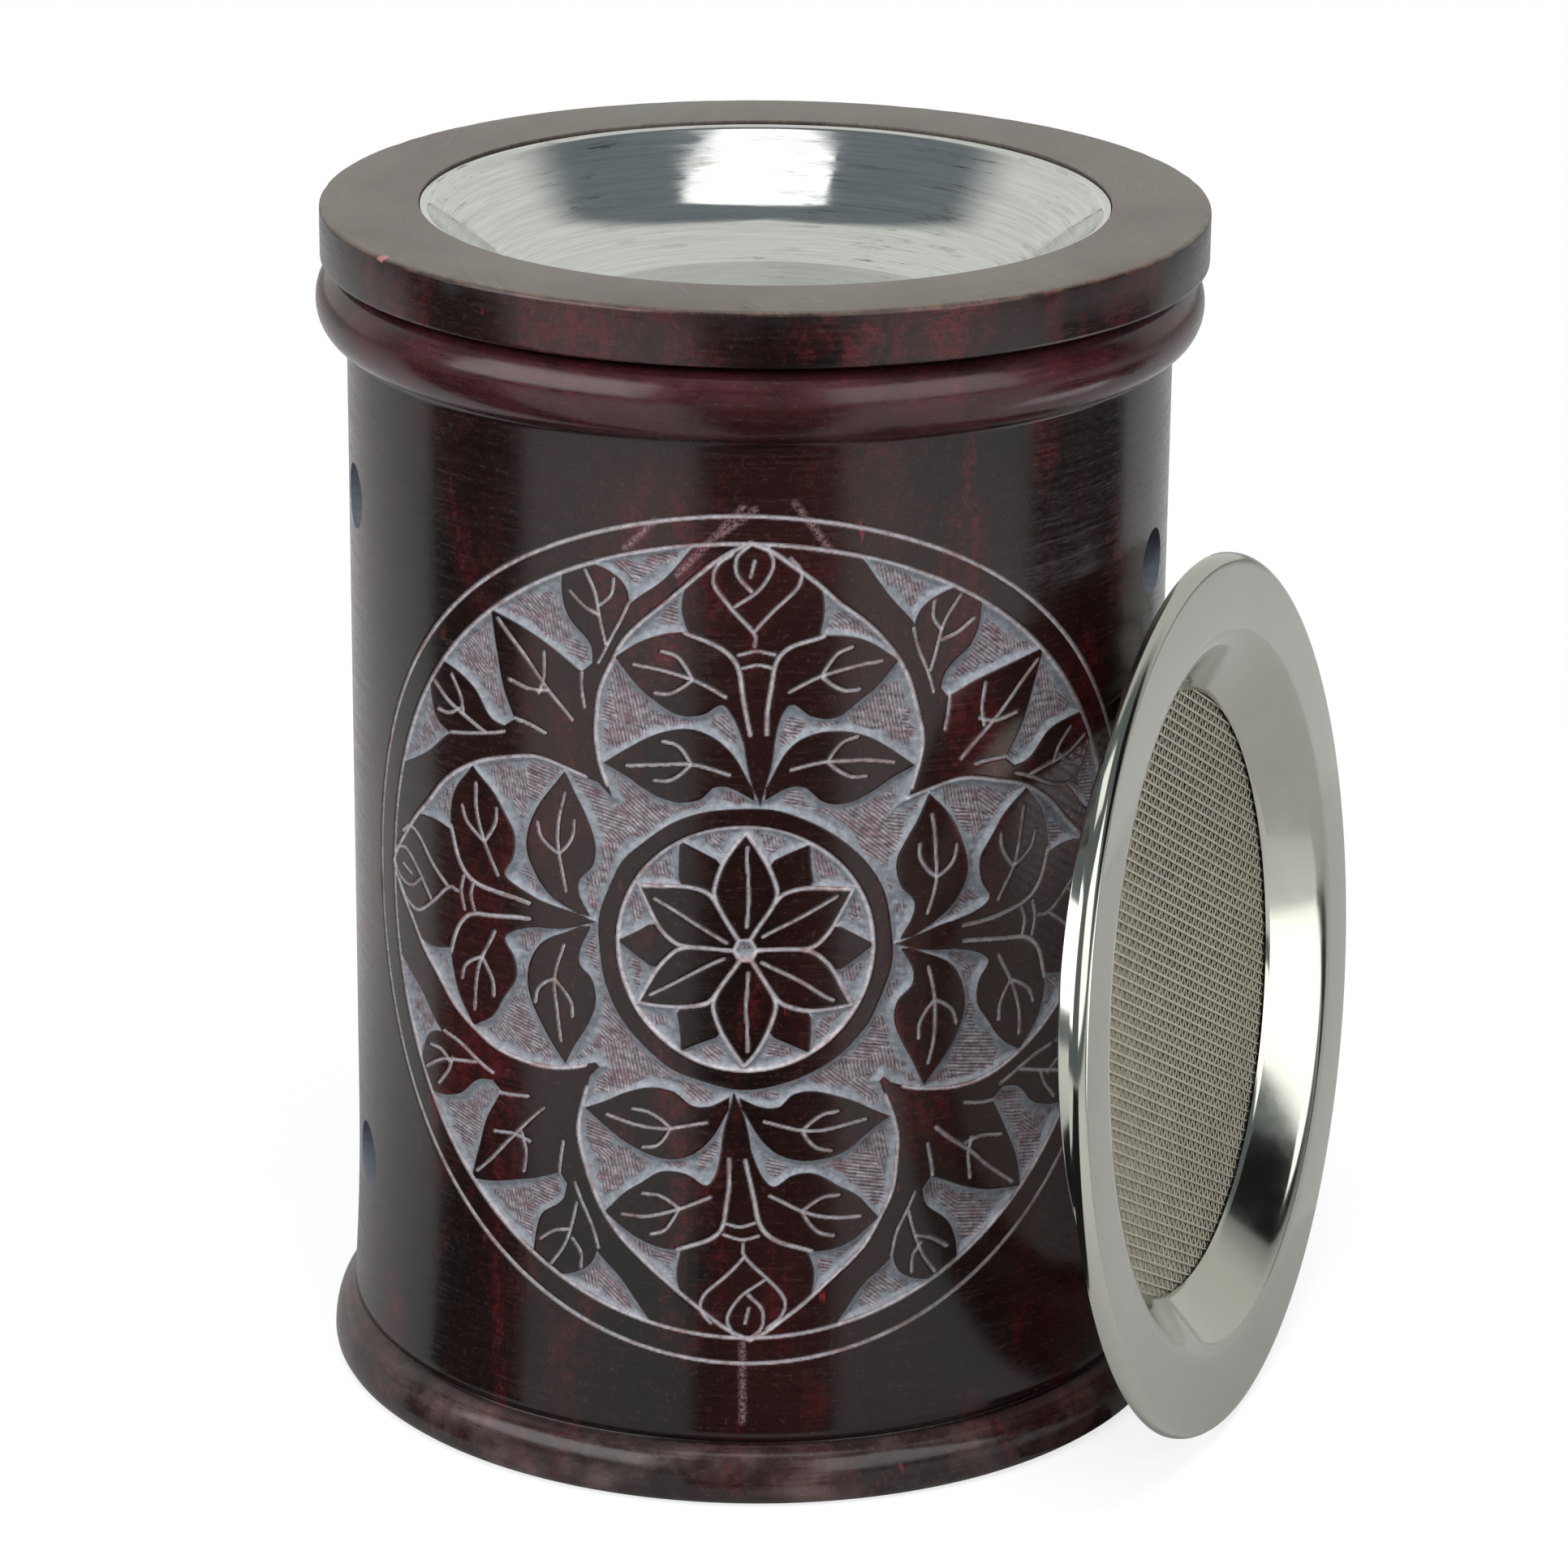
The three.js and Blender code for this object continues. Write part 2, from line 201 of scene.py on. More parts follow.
# Ornament on the wall, about its own centre: x runs round the wall and y runs up
ORNAMENT_AZIMUTH = -91.4
ORNAMENT_HEIGHT = 52.4
PATCH_RADIUS = 41
PATCH_CUTS = 7
PATCH_MARGIN = 6
TAIL_SIZE = (2, 46)
CARVING_DEPTH = 0.45
LINE_DEPTH = 0.2
CHISEL_DEPTH = 0.05
OUTER_CIRCLE = 39.4
INNER_CIRCLE = 36.95
RING_OUTSIDE = 13.05
RING_INSIDE = 11.45
HUB_RADIUS = 17.8
DOT_RADIUS = 1.05
LINE_WIDTH = 0.27
VEIN_WIDTH = 0.21
EDGE_WIDTH = 0.6
INSET_REACH = 1.5
HAND_WOBBLE = 0.08
HAND_SLIP = 0.22
HATCH_TURNS = (40, 78, 12)
HATCH_SCALE = 0.95

# Each lobe's direction, and how far it was set out to the side by hand at its foot and at its tip
LOBES = ((0, 1.25, 0.3), (90, 1.4, 1.0), (180, 0.9, -0.6), (270, 0.1, 0.2))
LOBE_FOOT = 14
LOBE_LENGTH = 23
LOBE_EDGE = [
    (0, 37.1), (2.6, 35.7), (7, 32), (11, 28.2),
    (13.3, 24.2), (14.4, 19.8), (14.1, 16.6), (13.1, 13.1),
]
STEM = [(0, 13.4), (0.9, 16.6), (1.4, 20.2), (1.25, 24), (1.8, 26.4), (1, 28.2)]
BUD = [
    [(0.5, 26), (3, 27.5), (5.6, 28.6)],
    [(5.6, 28.6), (6.1, 31), (5.5, 33.4), (3.2, 35.5), (0, 37.1)],
]
UPPER_LEAF = [
    [(1.1, 23.6), (1.7, 26.2), (3.2, 27.7), (6, 28.7), (9.4, 28), (12.3, 26)],
    [(12.3, 26), (10.6, 23.9), (8.8, 22.6), (6.8, 21.3), (4.8, 21.5), (3.1, 22.5), (2.1, 21.4), (1.2, 18.6)],
]
LOWER_LEAF = [
    [(0.6, 14.9), (2.1, 17.8), (4, 19.5), (6.5, 20), (9.9, 19), (13.6, 16.3)],
    [(13.6, 16.3), (11.6, 15.3), (9.6, 14.2), (7.4, 13.4), (5.4, 13.7), (4, 14.9), (2.4, 14.9), (0.5, 13.9)],
]
LEAF_STALK = [(0.75, 19.8), (1.15, 23.6), (1.7, 26.2), (3.2, 27.7), (6, 28.7)]
LOBE_VEINS = [
    [(2.8, 23.4), (5.6, 24.8), (8.4, 25.6), (10.9, 25.8)],
    [(5.6, 24.8), (6.3, 26), (7.1, 26.9), (8.3, 27.3)],
    [(5.6, 24.8), (6.7, 24), (7.8, 23.5), (9, 23.5)],
    [(2.7, 16.3), (6, 17.1), (9, 17), (11.8, 16.5)],
    [(6, 17.1), (6.6, 18.1), (7.4, 18.8), (8.6, 19.1)],
    [(6, 17.1), (7, 16.2), (8.1, 15.6), (9.3, 15.5)],
]
BUD_LINES = [
    [(0, 27.8), (0, 29), (-1.8, 31.2), (-3.4, 33.3), (-3, 35), (-1.6, 36.1)],
    [(0, 29), (1.7, 31), (3.8, 33), (4.2, 34.5), (3.4, 35.6)],
    [(-1.6, 31.4), (0.5, 33), (1.9, 35), (1.5, 36.6)],
    [(-0.2, 32.8), (-1.4, 34.3), (-1.2, 35.9), (0, 36.9)],
    [(-0.2, 34.1), (0.3, 35.5)],
    [(-1.5, 27.1), (0.1, 27.4), (1.7, 27)],
    [(-1.2, 25.9), (0.1, 26.2), (1.3, 25.9)],
]

# Corner between two lobes, drawn in the first quarter and mirrored about its diagonal
DIAGONAL = (1, 1)
CORNER_TURNS = (-3, 84.7, 179.5, 270.6)
BAND_EDGE = [(7.6, 36.3), (10.3, 32.7), (13.2, 29.7), (14.7, 25.6), (16.7, 22.9)]
SIDE_LEAF = [
    [(15.3, 24.1), (14.6, 25.8), (13.7, 27.8), (13.2, 29.8), (13.8, 31.5), (15.4, 32.5), (17.3, 33)],
    [(19.4, 31.6), (19.1, 29.4), (18.3, 27.4), (16.3, 25.6), (15.8, 23.6)],
]
MIDDLE_LEAF = [[(26.1, 26.1), (22.8, 25.4), (19.4, 24.2), (16.7, 22.9)], [(16, 19), (15, 15)]]
CORNER_LINES = [
    [(13.2, 29.8), (13.8, 27.7), (14.7, 25.6), (15.4, 23.9)],
    [(16.7, 23), (16.6, 21.4), (16.3, 19.8)],
    [(14.9, 25.9), (15.5, 28), (16.2, 30.3), (17.4, 32.3)],
    [(15.7, 28.9), (14.8, 30.1), (14.7, 31.6)],
    [(15.6, 28.5), (17, 29), (18.5, 30.2)],
    [(20.6, 19.9), (20.2, 21.6), (20.5, 23.7)],
]
MIDDLE_MIDRIB = [(25.4, 25.4), (21.6, 21.2), (18.2, 17.4)]

# Rosette, with its petals drawn along x
PETALS = 6
PETAL = [(0.9, 0.5), (2.6, 1.5), (4.4, 2.5), (5.6, 2.75), (7.5, 2.2), (9.3, 1.15), (10.9, 0)]
PETAL_MIDRIB = [(2, 0), (9.4, 0)]
SMALL_PETAL = [(11.2, 0), (8.4, 1.9), (5, 2)]

# Layout marks that rubbed through the dye
SCRATCHES = [
    [(-0.4, 40.2), (-6, 34)],
    [(0.6, 40), (-2.5, 37.5)],
    [(4, 40.6), (7, 36.4)],
    [(-8, 38.6), (-10.6, 36)],
    [(0, -37.4), (0.1, -45)],
]
SCRATCH_WIDTH = 0.9

CURVE_STEPS = 6

# Spots of the wall that are measured at a time
BLOCK = 20000


# Flat lines and outlines

def curve(points):
    """Smooth line through a few points."""
    points = np.array(points, float)
    if len(points) == 2:
        return points
    padded = np.vstack([2 * points[0] - points[1], points, 2 * points[-1] - points[-2]])
    share = np.arange(CURVE_STEPS)[:, None] / CURVE_STEPS
    runs = []
    for before, start, end, beyond in zip(padded, padded[1:], padded[2:], padded[3:]):
        leave = (end - before) / 2
        arrive = (beyond - start) / 2
        rise = end - start
        bend = 3 * rise - 2 * leave - arrive + share * (leave + arrive - 2 * rise)
        runs.append(start + share * (leave + share * bend))
    return np.vstack(runs + [points[-1:]])


def joined(edges):
    """Outline of several smooth edges that meet in corners."""
    return np.vstack([curve(edge) for edge in edges])


def mirrored(line, axis=(0, 1)):
    """A line on the other side of an axis through the centre."""
    axis = np.array(axis, float) / math.hypot(*axis)
    return 2 * (line @ axis)[:, None] * axis - line


def whole(half, axis=(0, 1)):
    """Closed outline from one half of it."""
    return np.vstack([half, mirrored(half, axis)[::-1]])


def heading(degrees):
    """Flat direction at an angle in degrees."""
    angle = math.radians(degrees)
    return np.array([math.cos(angle), math.sin(angle)])


def turned_by(line, degrees):
    across = heading(degrees)
    return line @ np.array([across, (-across[1], across[0])])


def arc(centre, size, start, end, steps):
    """Points of an upright ellipse from one angle in degrees to another."""
    angles = np.radians(np.linspace(start, end, steps + 1))
    return np.stack([centre[0] + size[0] * np.cos(angles), centre[1] + size[1] * np.sin(angles)], 1)


def bent(start, corner, end, steps):
    """Curve from a start to an end that would otherwise meet in a corner."""
    share = np.linspace(0, 1, steps + 1)[:, None]
    return (1 - share) ** 2 * start + 2 * share * (1 - share) * corner + share ** 2 * end


def rounded(corners, steps=4):
    """Open line through corners (x, y, rounding), sharp at its ends."""
    spots = [np.array(corner[:2], float) for corner in corners]
    line = spots[:1]
    for before, here, ahead, corner in zip(spots, spots[1:], spots[2:], corners[1:]):
        start = here + (before - here) / np.linalg.norm(before - here) * corner[2]
        end = here + (ahead - here) / np.linalg.norm(ahead - here) * corner[2]
        line += list(bent(start, here, end, steps))
    return np.array(line + spots[-1:])


def unit(rows):
    """Rows at a length of 1."""
    return rows / np.linalg.norm(rows, axis=1)[:, None]


def offset(line, distance):
    """The line moved square to itself, to its left."""
    run = unit(np.gradient(line, axis=0))
    return line + distance * np.stack([-run[:, 1], run[:, 0]], 1)


def sheet(line, thickness):
    """Closed outline of a sheet whose first side is the line."""
    return np.vstack([line, offset(line, thickness)[::-1]])


# Carving of the ornament

def segment_gap(spots, line):
    """Distance from each spot to a line of short segments."""
    start, run = line[:-1], np.diff(line, axis=0)
    length = np.maximum((run ** 2).sum(1), 1e-9)
    apart = spots[:, None] - start
    share = np.clip((apart * run).sum(2) / length, 0, 1)
    return np.sqrt(((apart - share[..., None] * run) ** 2).sum(2).min(1))


class Carving:
    """How far inside the cut ground each spot lies, and its shares of cut lines and rubbed marks."""

    def __init__(self, spots):
        self.spots = spots
        self.inset = np.full(len(spots), -INSET_REACH)
        self.line = np.zeros(len(spots))
        self.scratch = np.zeros(len(spots))

    def near(self, line, margin):
        low, high = line.min(0) - margin, line.max(0) + margin
        return np.flatnonzero(((self.spots > low) & (self.spots < high)).all(1))

    def inside(self, outline):
        """Spots near a closed outline, and how far inside it they lie."""
        index = self.near(outline, INSET_REACH)
        closed = np.vstack([outline, outline[:1]])
        start, end = closed[:-1], closed[1:]
        level = end[:, 1] == start[:, 1]
        slope = (end[:, 0] - start[:, 0]) / np.where(level, 1, end[:, 1] - start[:, 1])
        depth = np.zeros(len(index))
        for i in range(0, len(index), BLOCK):
            spots = self.spots[index[i : i + BLOCK]]
            gap = segment_gap(spots, closed)
            x, y = spots[:, :1], spots[:, 1:]
            spans = (start[:, 1] > y) != (end[:, 1] > y)
            crossed = spans & (x < start[:, 0] + (y - start[:, 1]) * slope)
            depth[i : i + BLOCK] = np.where(crossed.sum(1) % 2, gap, -gap)
        return index, depth

    def carve(self, outline):
        index, depth = self.inside(outline)
        self.inset[index] = np.maximum(self.inset[index], depth)

    def keep(self, outline):
        index, depth = self.inside(outline)
        self.inset[index] = np.minimum(self.inset[index], -depth)
        self.line[index] *= depth < 0

    def carve_disc(self, radius):
        self.inset = np.maximum(self.inset, radius - np.hypot(*self.spots.T))

    def keep_disc(self, radius):
        depth = radius - np.hypot(*self.spots.T)
        self.inset = np.minimum(self.inset, -depth)
        self.line *= depth < 0

    def engrave(self, line, width=LINE_WIDTH):
        index = self.near(line, width)
        share = np.clip(1.5 - 2 * segment_gap(self.spots[index], line) / width, 0, 1)
        self.line[index] = np.maximum(self.line[index], share)

    def engrave_circle(self, radius):
        share = np.clip(1.5 - 2 * abs(np.hypot(*self.spots.T) - radius) / LINE_WIDTH, 0, 1)
        self.line = np.maximum(self.line, share)

    def rub(self, line):
        index = self.near(line, SCRATCH_WIDTH)
        share = np.clip(1 - 2 * segment_gap(self.spots[index], line) / SCRATCH_WIDTH, 0, 1)
        self.scratch[index] = np.maximum(self.scratch[index], share)

    def ground(self):
        """1 on the flat of the ground, 0 on the face of the wall."""
        return np.clip(self.inset / EDGE_WIDTH, 0, 1)


def lobe_placed(line, lobe):
    """A line of the upright lobe where one of the four lobes has it."""
    turn, foot, tip = lobe
    share = np.clip((line[:, 1] - LOBE_FOOT) / LOBE_LENGTH, 0, 1)
    aside = foot + (tip - foot) * share
    return turned_by(line + np.stack([aside, 0 * aside], 1), turn)


def carve_grounds(work):
    """Sunk grounds of the four corners and the four lobes."""
    band = curve(BAND_EDGE)
    first = math.degrees(math.atan2(*band[0][::-1]))
    last = math.degrees(math.atan2(*band[0]))
    rim = arc((0, 0), (INNER_CIRCLE, INNER_CIRCLE), last, first, 40)
    corner = np.vstack([whole(band, DIAGONAL), rim])
    lobe = whole(np.vstack([curve(LOBE_EDGE), [(0, 0)]]))
    for turn in CORNER_TURNS:
        work.carve(turned_by(corner, turn))
    for place in LOBES:
        work.carve(lobe_placed(lobe, place))
    work.carve_disc(HUB_RADIUS)


def slipped(line, step):
    """The line a little aside, as a hand would set it."""
    return line + HAND_SLIP * np.array([math.sin(2.3 * step), math.cos(3.1 * step)])


def carve_corners(work):
    """Three leaves in each corner between two lobes."""
    side = joined(SIDE_LEAF)
    leaves = [side, mirrored(side, DIAGONAL), whole(joined(MIDDLE_LEAF), DIAGONAL)]
    lines = [curve(line) for line in CORNER_LINES]
    lines += [mirrored(line, DIAGONAL) for line in lines]
    lines.append(curve(MIDDLE_MIDRIB))
    for turn in CORNER_TURNS:
        for leaf in leaves:
            work.keep(turned_by(leaf, turn))
        for step, line in enumerate(lines):
            work.engrave(turned_by(slipped(line, step + turn), turn), VEIN_WIDTH)


def carve_lobes(work):
    """A bud on a stem with four leaves in each lobe."""
    shapes = [joined(UPPER_LEAF), joined(LOWER_LEAF)]
    shapes += [mirrored(shape) for shape in shapes]
    shapes += [whole(joined(BUD)), whole(curve(STEM))]
    rim = curve(LOBE_EDGE)
    edges = [rim[np.hypot(*rim.T) > HUB_RADIUS + 1.5], curve(LEAF_STALK)]
    edges += [mirrored(edge) for edge in edges]
    veins = [curve(line) for line in LOBE_VEINS]
    veins += [mirrored(line) for line in veins]
    marks = [curve(line) for line in BUD_LINES]
    for place in LOBES:
        for shape in shapes:
            work.keep(lobe_placed(shape, place))
        for edge in edges:
            work.engrave(lobe_placed(edge, place))
        for step, vein in enumerate(veins):
            drawn = slipped(vein, step // len(LOBE_VEINS) + place[0])
            work.engrave(lobe_placed(drawn, place), VEIN_WIDTH)
        for mark in marks:
            work.engrave(lobe_placed(mark, place), VEIN_WIDTH)


def carve_rosette(work):
    """Ring in the middle, with two rows of petals round a dot."""
    work.keep_disc(RING_OUTSIDE)
    work.carve_disc(RING_INSIDE)
    small = whole(np.array(SMALL_PETAL, float), (1, 0))
    petal = whole(curve(PETAL), (1, 0))
    step = 360 / PETALS
    for i in range(PETALS):
        work.keep(turned_by(small, i * step))
    for i in range(PETALS):
        outline = turned_by(petal, (i + 0.5) * step)
        work.keep(outline)
        work.engrave(np.vstack([outline, outline[:1]]))
        work.engrave(turned_by(slipped(curve(PETAL_MIDRIB), i), (i + 0.5) * step), VEIN_WIDTH)
    work.carve_disc(DOT_RADIUS)


def carve_ornament(spots):
    """Carving over spots of the wall, in the ornament's own millimetres."""
    x, y = spots.T
    sideways = np.sin(0.9 * y + 1.3 * np.sin(0.5 * x))
    upwards = np.sin(0.8 * x + 2 + np.sin(0.7 * y))
    work = Carving(spots + HAND_WOBBLE * np.stack([sideways, upwards], 1))
    carve_grounds(work)
    carve_corners(work)
    carve_lobes(work)
    carve_rosette(work)
    work.spots = spots
    for radius in (OUTER_CIRCLE, INNER_CIRCLE, RING_INSIDE - LINE_WIDTH / 2):
        work.engrave_circle(radius)
    for line in SCRATCHES:
        work.rub(curve(line))
    return work


# Meshes

def build(name, vertices, faces):
    """Object with a mesh whose vertices are given in millimetres."""
    mesh = bpy.data.meshes.new(name)
    mesh.from_pydata(np.asarray(vertices) * MM, [], faces)
    mesh.validate()
    piece = bpy.data.objects.new(name, mesh)
    bpy.context.scene.collection.objects.link(piece)
    return piece


def face_outward(piece):
    work = bmesh.new()
    work.from_mesh(piece.data)
    bmesh.ops.recalc_face_normals(work, faces=work.faces)
    work.to_mesh(piece.data)
    work.free()


def lathe(name, profile, columns, closed=False):
    """Object turned about Z from (radius, height) points: an open profile ends on the axis."""
    angles = np.arange(columns) * 2 * math.pi / columns
    vertices = []
    rings = []
    for radius, height in profile:
        if radius < 1e-6:
            rings.append([len(vertices)] * columns)
            vertices.append((0, 0, height))
            continue
        rings.append(list(range(len(vertices), len(vertices) + columns)))
        vertices += [(radius * math.cos(a), radius * math.sin(a), height) for a in angles]
    pairs = list(zip(rings, rings[1:]))
    if closed:
        pairs.append((rings[-1], rings[0]))
    faces = []
    for lower, upper in pairs:
        for i in range(columns):
            j = (i + 1) % columns
            corners = [lower[i], lower[j], upper[j], upper[i]]
            faces.append(list(dict.fromkeys(corners)))
    piece = build(name, vertices, faces)
    face_outward(piece)
    return piece


def ring(name, corners, columns):
    """Object turned from a closed outline through corners, the first of them sharp."""
    return lathe(name, rounded([*corners, corners[0]])[:-1], columns, closed=True)


def tube(path, radius, sides):
    """Vertices and faces of a round bar with capped ends along a path."""
    run = unit(np.gradient(path, axis=0))
    flat = unit(np.cross(run, (0, 0, 1.0)))
    rise = np.cross(flat, run)
    angles = (np.arange(sides) * 2 * math.pi / sides)[None, :, None]
    skin = radius * (np.cos(angles) * flat[:, None] + np.sin(angles) * rise[:, None])
    vertices = (path[:, None] + skin).reshape(-1, 3)
    faces = []
    for i in range(len(path) - 1):
        for j in range(sides):
            k = (j + 1) % sides
            faces.append((i * sides + j, i * sides + k, (i + 1) * sides + k, (i + 1) * sides + j))
    faces.append(tuple(range(sides)))
    faces.append(tuple(range(len(vertices) - 1, len(vertices) - sides - 1, -1)))
    return vertices, faces


def bundle(name, bars):
    """Object of several bars, each given as vertices and faces."""
    vertices = []
    faces = []
    for points, skins in bars:
        faces += [tuple(k + len(vertices) for k in skin) for skin in skins]
        vertices += points.tolist()
    piece = build(name, vertices, faces)
    face_outward(piece)
    return piece


def places(mesh):
    """Vertices of a mesh as rows of millimetres."""
    flat = np.empty(3 * len(mesh.vertices))
    mesh.vertices.foreach_get("co", flat)
    return flat.reshape(-1, 3) / MM


def move(mesh, rows):
    mesh.vertices.foreach_set("co", (rows * MM).ravel())
    mesh.update()


def note(mesh, name, values, domain="POINT"):
    """Keeps a share for every vertex or face, for the material to read."""
    layer = mesh.attributes.new(name, "FLOAT", domain)
    layer.data.foreach_set("value", np.asarray(values, np.float32))


def finish(piece, material, body, node, sharp=40):
    """Shades a piece, gives it its material and lets it stand for a CAD node."""
    mesh = piece.data
    mesh.shade_smooth()
    mesh.set_sharp_from_angle(angle=math.radians(sharp))
    mesh.materials.clear()
    mesh.materials.append(material)
    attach(piece, body)
    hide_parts(node)


# Material nodes

def feed(node, inputs):
    """Gives inputs of a node a value or another node's output."""
    links = node.id_data.links
    for name, value in inputs.items():
        if isinstance(value, bpy.types.NodeSocket):
            links.new(value, node.inputs[name])
        else:
            node.inputs[name].default_value = value


def add(tree, kind, inputs, out=0, **settings):
    """Adds a node and returns one of its outputs."""
    node = tree.nodes.new("ShaderNode" + kind)
    for name, value in settings.items():
        setattr(node, name, value)
    feed(node, inputs)
    return node.outputs[out]


def after(kind, inputs, out=0, **settings):
    """Adds a node behind those that its inputs come from, and returns one of its outputs."""
    sockets = [value for value in inputs.values() if isinstance(value, bpy.types.NodeSocket)]
    return add(sockets[0].id_data, kind, inputs, out, **settings)


def colour(*levels):
    """Linear colour from 8-bit red, green and blue as a screen shows them."""
    shares = [level / 255 for level in levels]
    return (*(((s + 0.055) / 1.055) ** 2.4 if s > 0.04 else s / 12.92 for s in shares), 1)


def blank(name):
    """New material and its nodes."""
    material = bpy.data.materials.new(name)
    material.use_nodes = True
    return material, material.node_tree


def dressed(material, inputs):
    """The material, with inputs of its shader given."""
    feed(material.node_tree.nodes["Principled BSDF"], inputs)
    return material


def place_of(tree, scale=(1, 1, 1)):
    """Position on the piece, stretched by a scale."""
    return after("Mapping", {"Vector": add(tree, "TexCoord", {}, out=3), "Scale": scale})


def noise(spot, scale, detail=4, roughness=0.55, distortion=0):
    settings = {"Vector": spot, "Scale": scale, "Detail": detail, "Roughness": roughness}
    return after("TexNoise", {**settings, "Distortion": distortion})


def ramp(value, low, high, start=0, end=1):
    limits = {"From Min": low, "From Max": high, "To Min": start, "To Max": end}
    return after("MapRange", {"Value": value, **limits}, interpolation_type="SMOOTHSTEP")


def calc(operation, a, b):
    return after("Math", {0: a, 1: b}, operation=operation)


def times(a, b):
    return calc("MULTIPLY", a, b)


def vector(operation, a, b=(0, 0, 0), out=0):
    return after("VectorMath", {0: a, 1: b}, out=out, operation=operation)


def blend(share, first, second):
    """Number between two others."""
    return after("Mix", {0: share, 2: first, 3: second})


def mix(share, first, second):
    """Colour between two others."""
    return after("Mix", {0: share, 6: first, 7: second}, out=2, data_type="RGBA")


def bump(height, depth, strength=1, below=None):
    inputs = {"Height": height, "Distance": depth * MM, "Strength": strength}
    if below is not None:
        inputs["Normal"] = below
    return after("Bump", inputs)


def attribute(tree, name, out=2):
    return add(tree, "Attribute", {}, out=out, attribute_name=name)


def ring_place(tree, per_millimetre, round_scale, aside=0):
    """Position measured out from the axis, for marks that run round it."""
    centred = vector("ADD", add(tree, "TexCoord", {}, out=3), (-aside * MM, 0, 0))
    flat = vector("MULTIPLY", centred, (1, 1, 0))
    around = vector("MULTIPLY", vector("NORMALIZE", flat), (round_scale,) * 3)
    outward = times(vector("LENGTH", flat, out=1), per_millimetre / MM)
    return vector("ADD", around, after("CombineXYZ", {2: outward}))


# Materials

def dyed_stone(tree, aside=0):
    """Colour of the dyed soapstone: black-brown with dark red where the dye is thin."""
    spot = place_of(tree)
    apart = vector("ADD", spot, (aside, aside, 0))
    tall = after("Mapping", {"Vector": apart, "Scale": (1, 1, 0.35)})
    cloud = noise(tall, 45, detail=5)
    base = mix(ramp(cloud, 0.35, 0.65), colour(15, 8, 7), colour(36, 17, 16))
    patch = ramp(noise(tall, 120, detail=6, roughness=0.68, distortion=0.5), 0.5, 0.68)
    grain = ramp(noise(spot, 1100, roughness=0.7), 0.38, 0.62, 0.15, 0.9)
    red = mix(times(patch, grain), base, colour(72, 20, 23))
    dash = ramp(noise(tall, 640, detail=2), 0.69, 0.76, 0, 0.7)
    sparse = ramp(noise(spot, 70, detail=2), 0.54, 0.64)
    dashed = mix(times(dash, sparse), red, colour(122, 34, 40))
    fleck = ramp(noise(spot, 1900, detail=3, roughness=0.7), 0.56, 0.74, 0, 0.24)
    return mix(fleck, dashed, colour(92, 62, 60))


def turning_marks(tree):
    """Fine lines left round the stone by the lathe, broken by short scratches."""
    lines = noise(place_of(tree, (70, 70, 2600)), 1, detail=6, roughness=0.78)
    short = noise(place_of(tree, (900, 900, 4200)), 1, roughness=0.7)
    return blend(0.45, lines, short)


def lathe_lined(surface, marks):
    """The colour of the stone with the lathe's lines in it."""
    lined = mix(ramp(marks, 0.34, 0.5, 0.55, 0), surface, colour(13, 8, 8))
    return mix(ramp(marks, 0.52, 0.76, 0, 0.18), lined, colour(96, 76, 73))


def hatching(flat):
    """Chisel lines that run in a few directions over the ground, low where the chisel went deeper."""
    bends = {"Distortion": 1.8, "Detail": 3, "Detail Scale": 1.1, "Detail Roughness": 0.6}
    lines = []
    for turn in HATCH_TURNS:
        way = after("Mapping", {"Vector": flat, "Rotation": (0, 0, math.radians(turn))})
        waves = {"Vector": way, "Scale": HATCH_SCALE, **bends}
        lines.append(after("TexWave", waves, out=1, bands_direction="Y"))
    apart = after("Mapping", {"Vector": flat, "Location": (31, 17, 0)})
    zone = ramp(noise(flat, 0.12, detail=1), 0.46, 0.5)
    far_zone = ramp(noise(apart, 0.1, detail=1), 0.53, 0.57)
    return blend(far_zone, blend(zone, lines[0], lines[1]), lines[2])


